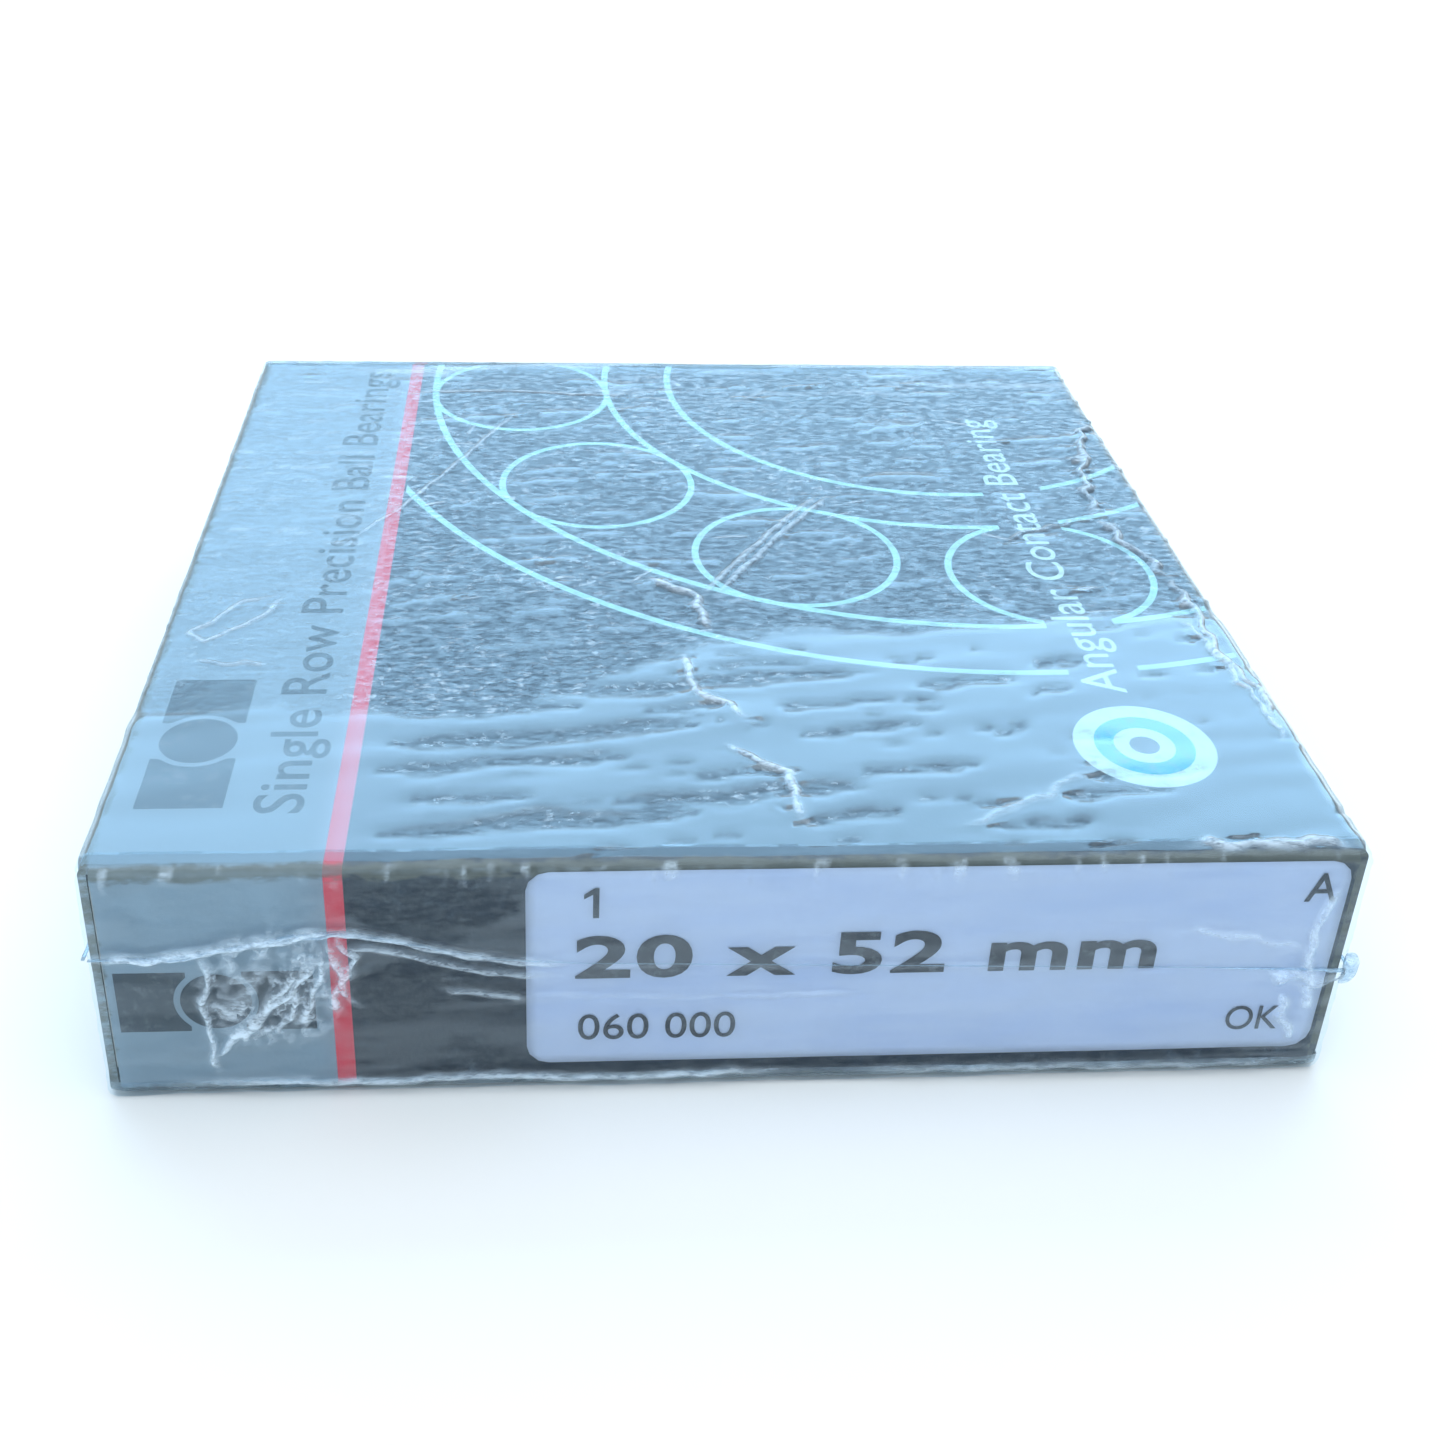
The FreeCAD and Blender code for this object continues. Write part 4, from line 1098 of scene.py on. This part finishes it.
def weld_lip(name, line, outward, body, replaced, seed):
    """A lip along a line of points, each (x, y, z, how far it stands out there)."""
    reaches = [p[3] for p in line]
    line = [Vector(p[:3]) for p in line]
    spans = [(b - a).length for a, b in zip(line[:-1], line[1:])]
    mesh = bmesh.new()
    steps = round(sum(spans) / 0.45)
    verts = sheet_grid(mesh, 1.0, 1.0, 1 / 3, Matrix.Translation((0.5, 0.5, 0)))
    bmesh.ops.subdivide_edges(
        mesh, edges=[e for e in mesh.edges if abs(e.verts[0].co.y - e.verts[1].co.y) < 1e-6],
        cuts=max(1, steps // 3), use_grid_fill=True,
    )
    layer = mesh.verts.layers.float.new("pinch")
    for vert in mesh.verts:
        share, out = vert.co.x, vert.co.y
        walked, at = share * sum(spans), 0
        while at < len(spans) - 1 and walked > spans[at]:
            walked -= spans[at]
            at += 1
        step = min(walked / spans[at], 1.0)
        root = line[at].lerp(line[at + 1], step)
        width = reaches[at] + (reaches[at + 1] - reaches[at]) * step
        curl = noise.fractal(Vector((share * sum(spans) / 3.2, seed, 0)), 0.8, 2.0, 3)
        wave = noise.noise(Vector((share * sum(spans) / 0.8, seed + 5, 0)))
        reach = width * (1 + 0.25 * curl)
        vert.co = root + outward * (out * reach) + Vector((0, 0, (0.9 * curl + 0.25 * wave) * out * width))
        vert[layer] = min(1.0, 0.1 + 0.9 * width) * (0.4 + 0.5 * out)
    bmesh.ops.recalc_face_normals(mesh, faces=mesh.faces)
    bmesh.ops.solidify(mesh, geom=mesh.faces[:], thickness=0.05)
    lip = make_piece(name, mesh, WELD, body)
    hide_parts(replaced)
    return lip


front_skin, side_skin = -HALF_DEPTH - 0.25, HALF_WIDTH + 0.16
stands_out_at = (-39, -35, -22, -11, 30, 37), (0.2, 0.5, 0.5, 0.03, 0.03, 0.3)  # places in x, and how far
weld_lip(
    "weld_lip_front",
    [(x, front_skin, front_seam(x), np.interp(x, *stands_out_at)) for x in np.linspace(-38.9, 38.9, 27)],
    Vector((0, -1, 0)), "front_closure", "front_film_weld", 1.0,
)
for hand, sign in (("left", -1), ("right", 1)):
    end_z = 11.2 if hand == "left" else 8.8
    weld_lip(
        f"weld_lip_{hand}",
        [(sign * side_skin, -HALF_DEPTH - 0.1, end_z, 0.20), (sign * side_skin, -HALF_DEPTH + 2.5, end_z - 0.3, 0.22),
         (sign * side_skin, -20, 9.2, 0.35), (sign * side_skin, 10, 8.4, 0.4), (sign * side_skin, HALF_DEPTH, 8.9, 0.5)],
        Vector((sign, 0, 0)), "carton", f"{hand}_film_weld", 8.0 + sign,
    )

# %% [markdown]
# At the front right corner the two lips meet in a small round ear.  It is a half disc of film, bent by noise.

# %% Ear of film
EAR = Vector((HALF_WIDTH - 0.1, front_skin + 0.1, 8.7))
ear = bmesh.new()
sheet_grid(ear, 1.0, math.pi, 1 / 12, Matrix.Translation((0.5, 0, 0)))
milk_layer = ear.verts.layers.float.new("pinch")
for vert in ear.verts:
    out, turn = vert.co.x, vert.co.y
    lobe = out * (1.15 + 0.22 * noise.noise(Vector((turn * 1.4, 2.0, 0))))
    fold = 0.35 * noise.noise(Vector((turn * 1.1, out * 1.6, 9.0))) * out
    vert.co = EAR + Vector((lobe * 0.95 * math.cos(turn), fold, lobe * 1.15 * math.sin(turn)))
    vert[milk_layer] = 0.25 + 0.5 * out**3
bmesh.ops.remove_doubles(ear, verts=ear.verts, dist=1e-4)
bmesh.ops.recalc_face_normals(ear, faces=ear.faces)
bmesh.ops.solidify(ear, geom=ear.faces[:], thickness=0.05)
make_piece("weld_ear_front_right", ear, WELD, "carton")

# %% [markdown]
# ## Inside the pack
#
# With the ends open, the pouch, the leaflet and the bearing come into view.  The pouch's upper web is one sheet
# of film pulled down over the bearing.  A square grid makes it: its middle is mapped to a disc that lies on the
# bearing, the next part to the wall that hangs from it, and the outer part back to the pouch's square rim.

# %% Pouch
POUCH = clear_film("pouch_film", shine=0.55, haze=1.0, tint=(0.97, 0.98, 0.98), scuffed=False)
paint_node("pouch_lower_web", POUCH)

(_, _, rim_low), (rim, _, roof) = corners_of("pouch_upper_web")
(_, _, _), (drum, _, drum_top) = corners_of("outer_ring")
ROOF_SHARE, WALL_SHARE = 0.50, 0.76  # where the disc ends and where the wall ends, as shares of the grid

pouch = bmesh.new()
sheet_grid(pouch, 2.0, 2.0, 2 / 132, Matrix.Identity(4))
pinch = pouch.verts.layers.float.new("pinch")
for vert in pouch.verts:
    share = max(abs(vert.co.x), abs(vert.co.y))
    on_square = vert.co.copy() / max(share, 1e-6)
    on_circle = on_square.normalized()
    pleat = abs(noise.fractal(on_circle * 7.5, 0.8, 2.0, 4))
    ripple = noise.fractal(Vector((vert.co.x * 9, vert.co.y * 9, 3.0)), 0.8, 2.0, 3)
    if share < ROOF_SHARE:
        part = share / ROOF_SHARE
        sag = 0.9 * max(0.0, 1 - (part * drum / 10.5) ** 2)
        vert.co = on_circle * ((drum + 0.12) * part) + Vector((0, 0, roof - 0.06 + 0.04 * ripple - sag))
    elif share < WALL_SHARE:
        part = (share - ROOF_SHARE) / (WALL_SHARE - ROOF_SHARE)
        out = drum + 0.12 + 1.3 * part**2 + 1.1 * pleat * part
        drop = (drum_top - rim_low - 0.4) * part**1.15
        vert.co = on_circle * out + Vector((0, 0, roof - 0.06 - drop))
        vert[pinch] = min(1.0, 0.8 * pleat * part)
    else:
        part = (share - WALL_SHARE) / (1 - WALL_SHARE)
        foot = on_circle * (drum + 1.42 + 1.1 * pleat)
        vert.co = foot.lerp(on_square * rim, part)
        seat = roof - 0.06 - (drum_top - rim_low - 0.4)
        vert.co.z = rim_low + 0.02 + (seat - rim_low) * (1 - part) ** 2 + 0.35 * pleat * (1 - part)
        vert[pinch] = 0.35 + 0.3 * pleat if part > 0.5 else 0.5 * pleat
bmesh.ops.recalc_face_normals(pouch, faces=pouch.faces)
pouch_over = make_piece("pouch_over_the_bearing", pouch, POUCH, "carton")
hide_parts("pouch_upper_web")

# %% [markdown]
# The bearing's finishes all come from how each part is made.  Rings are ground while they turn, so their fine
# lines run round the axis: the noise reads the radius and the height, and hardly changes with the angle.
# Balls are lapped to a mirror.  The cage is moulded from glass-filled polyamide, cream and slightly cloudy.
# All are packed in preserving oil, which lies in patches.

# %% Bearing finishes and leaflet
def ground_steel():
    material, tree, output = new_finish("ring_steel")
    point, x, y, z = place_in_mm(tree)
    radius = maths(tree, "SQRT", maths(tree, "ADD", maths(tree, "MULTIPLY", x, x), maths(tree, "MULTIPLY", y, y)))
    turned = add(tree, "CombineXYZ", {"X": radius, "Y": z, "Z": maths(tree, "MULTIPLY", x, 0.02)}).outputs[0]
    lines = cloud(tree, turned, 7.0, 4.0, 0.8)
    broad = cloud(tree, turned, 1.1, 2.0, 0.5)
    oil = ramp(tree, cloud(tree, point, 0.16, 3.0, 0.6), 0.44, 0.58)
    rough = maths(tree, "ADD", 0.14, maths(tree, "MULTIPLY", lines, 0.22))
    colour = blend_colours(tree, broad, (0.50, 0.51, 0.53), (0.66, 0.67, 0.69))
    steel = add(
        tree, "BsdfPrincipled",
        {
            "Base Color": colour, "Metallic": 1.0, "Roughness": rough, "Normal": bump(tree, lines, 0.012, 0.6),
            "Coat Weight": maths(tree, "MULTIPLY", oil, 0.6), "Coat Roughness": 0.08, "Coat Tint": (1.0, 0.95, 0.82, 1),
        },
    )
    show(tree, output, steel.outputs[0])
    return material


def lapped_steel():
    material, tree, output = new_finish("ball_steel")
    point, x, y, z = place_in_mm(tree)
    smears = cloud(tree, point, 0.5, 4.0, 0.65)
    rough = ramp(tree, smears, 0.40, 0.68, 0.05, 0.20)
    steel = add(
        tree, "BsdfPrincipled",
        {"Base Color": (0.68, 0.69, 0.71, 1), "Metallic": 1.0, "Roughness": rough, "Normal": bump(tree, smears, 0.004, 0.4)},
    )
    show(tree, output, steel.outputs[0])
    return material


def moulded_polyamide():
    material, tree, output = new_finish("cage_polyamide")
    point, x, y, z = place_in_mm(tree)
    fibres = cloud(tree, stretched(tree, point, (1.0, 1.0, 3.5)), 1.6, 5.0, 0.75)
    clouds = cloud(tree, point, 0.22, 2.0, 0.5)
    colour = blend_colours(tree, clouds, (0.62, 0.53, 0.36), (0.74, 0.67, 0.51))
    colour = blend_colours(tree, ramp(tree, fibres, 0.56, 0.70, 0.0, 0.4), colour, (0.84, 0.80, 0.69))
    plastic = add(
        tree, "BsdfPrincipled",
        {
            "Base Color": colour, "Roughness": 0.42, "Normal": bump(tree, fibres, 0.02, 0.5),
            "Subsurface Weight": 0.15, "Subsurface Scale": 0.001,
        },
    )
    show(tree, output, plastic.outputs[0])
    return material


def printed_leaflet():
    """Thin white paper.  Rows of small type are only broken grey lines, with no letters."""
    material, tree, output = new_finish("leaflet_paper")
    point, x, y, z = place_in_mm(tree)
    row = maths(tree, "FRACT", maths(tree, "MULTIPLY", y, 0.42))
    words = ramp(tree, cloud(tree, stretched(tree, point, (0.9, 0.42, 0.1)), 1.6, 2.0, 0.5), 0.44, 0.50)
    in_row = maths(tree, "LESS_THAN", row, 0.36)
    in_page = maths(
        tree, "MULTIPLY", maths(tree, "LESS_THAN", maths(tree, "ABSOLUTE", x), 23.0),
        maths(tree, "LESS_THAN", maths(tree, "ABSOLUTE", y), 21.0),
    )
    gutter = maths(tree, "GREATER_THAN", maths(tree, "ABSOLUTE", x), 1.4)
    print_share = maths(tree, "MULTIPLY", maths(tree, "MULTIPLY", in_row, words), maths(tree, "MULTIPLY", in_page, gutter))
    fibres = cloud(tree, point, 1.2, 4.0, 0.7)
    paper = blend_colours(tree, fibres, (0.70, 0.70, 0.67), (0.82, 0.82, 0.80))
    colour = blend_colours(tree, maths(tree, "MULTIPLY", print_share, 0.75), paper, (0.10, 0.11, 0.14))
    sheet = add(
        tree, "BsdfPrincipled", {"Base Color": colour, "Roughness": 0.75, "Normal": bump(tree, fibres, 0.03, 0.6)}
    )
    show(tree, output, sheet.outputs[0])
    return material


RING, BALL, CAGE, LEAFLET = ground_steel(), lapped_steel(), moulded_polyamide(), printed_leaflet()
for node in ("outer_ring", "inner_ring"):
    paint_node(node, RING)
for number in range(1, 14):
    paint_node(f"ball_{number:02d}", BALL)
paint_node("cage", CAGE)
paint_node("leaflet", LEAFLET)
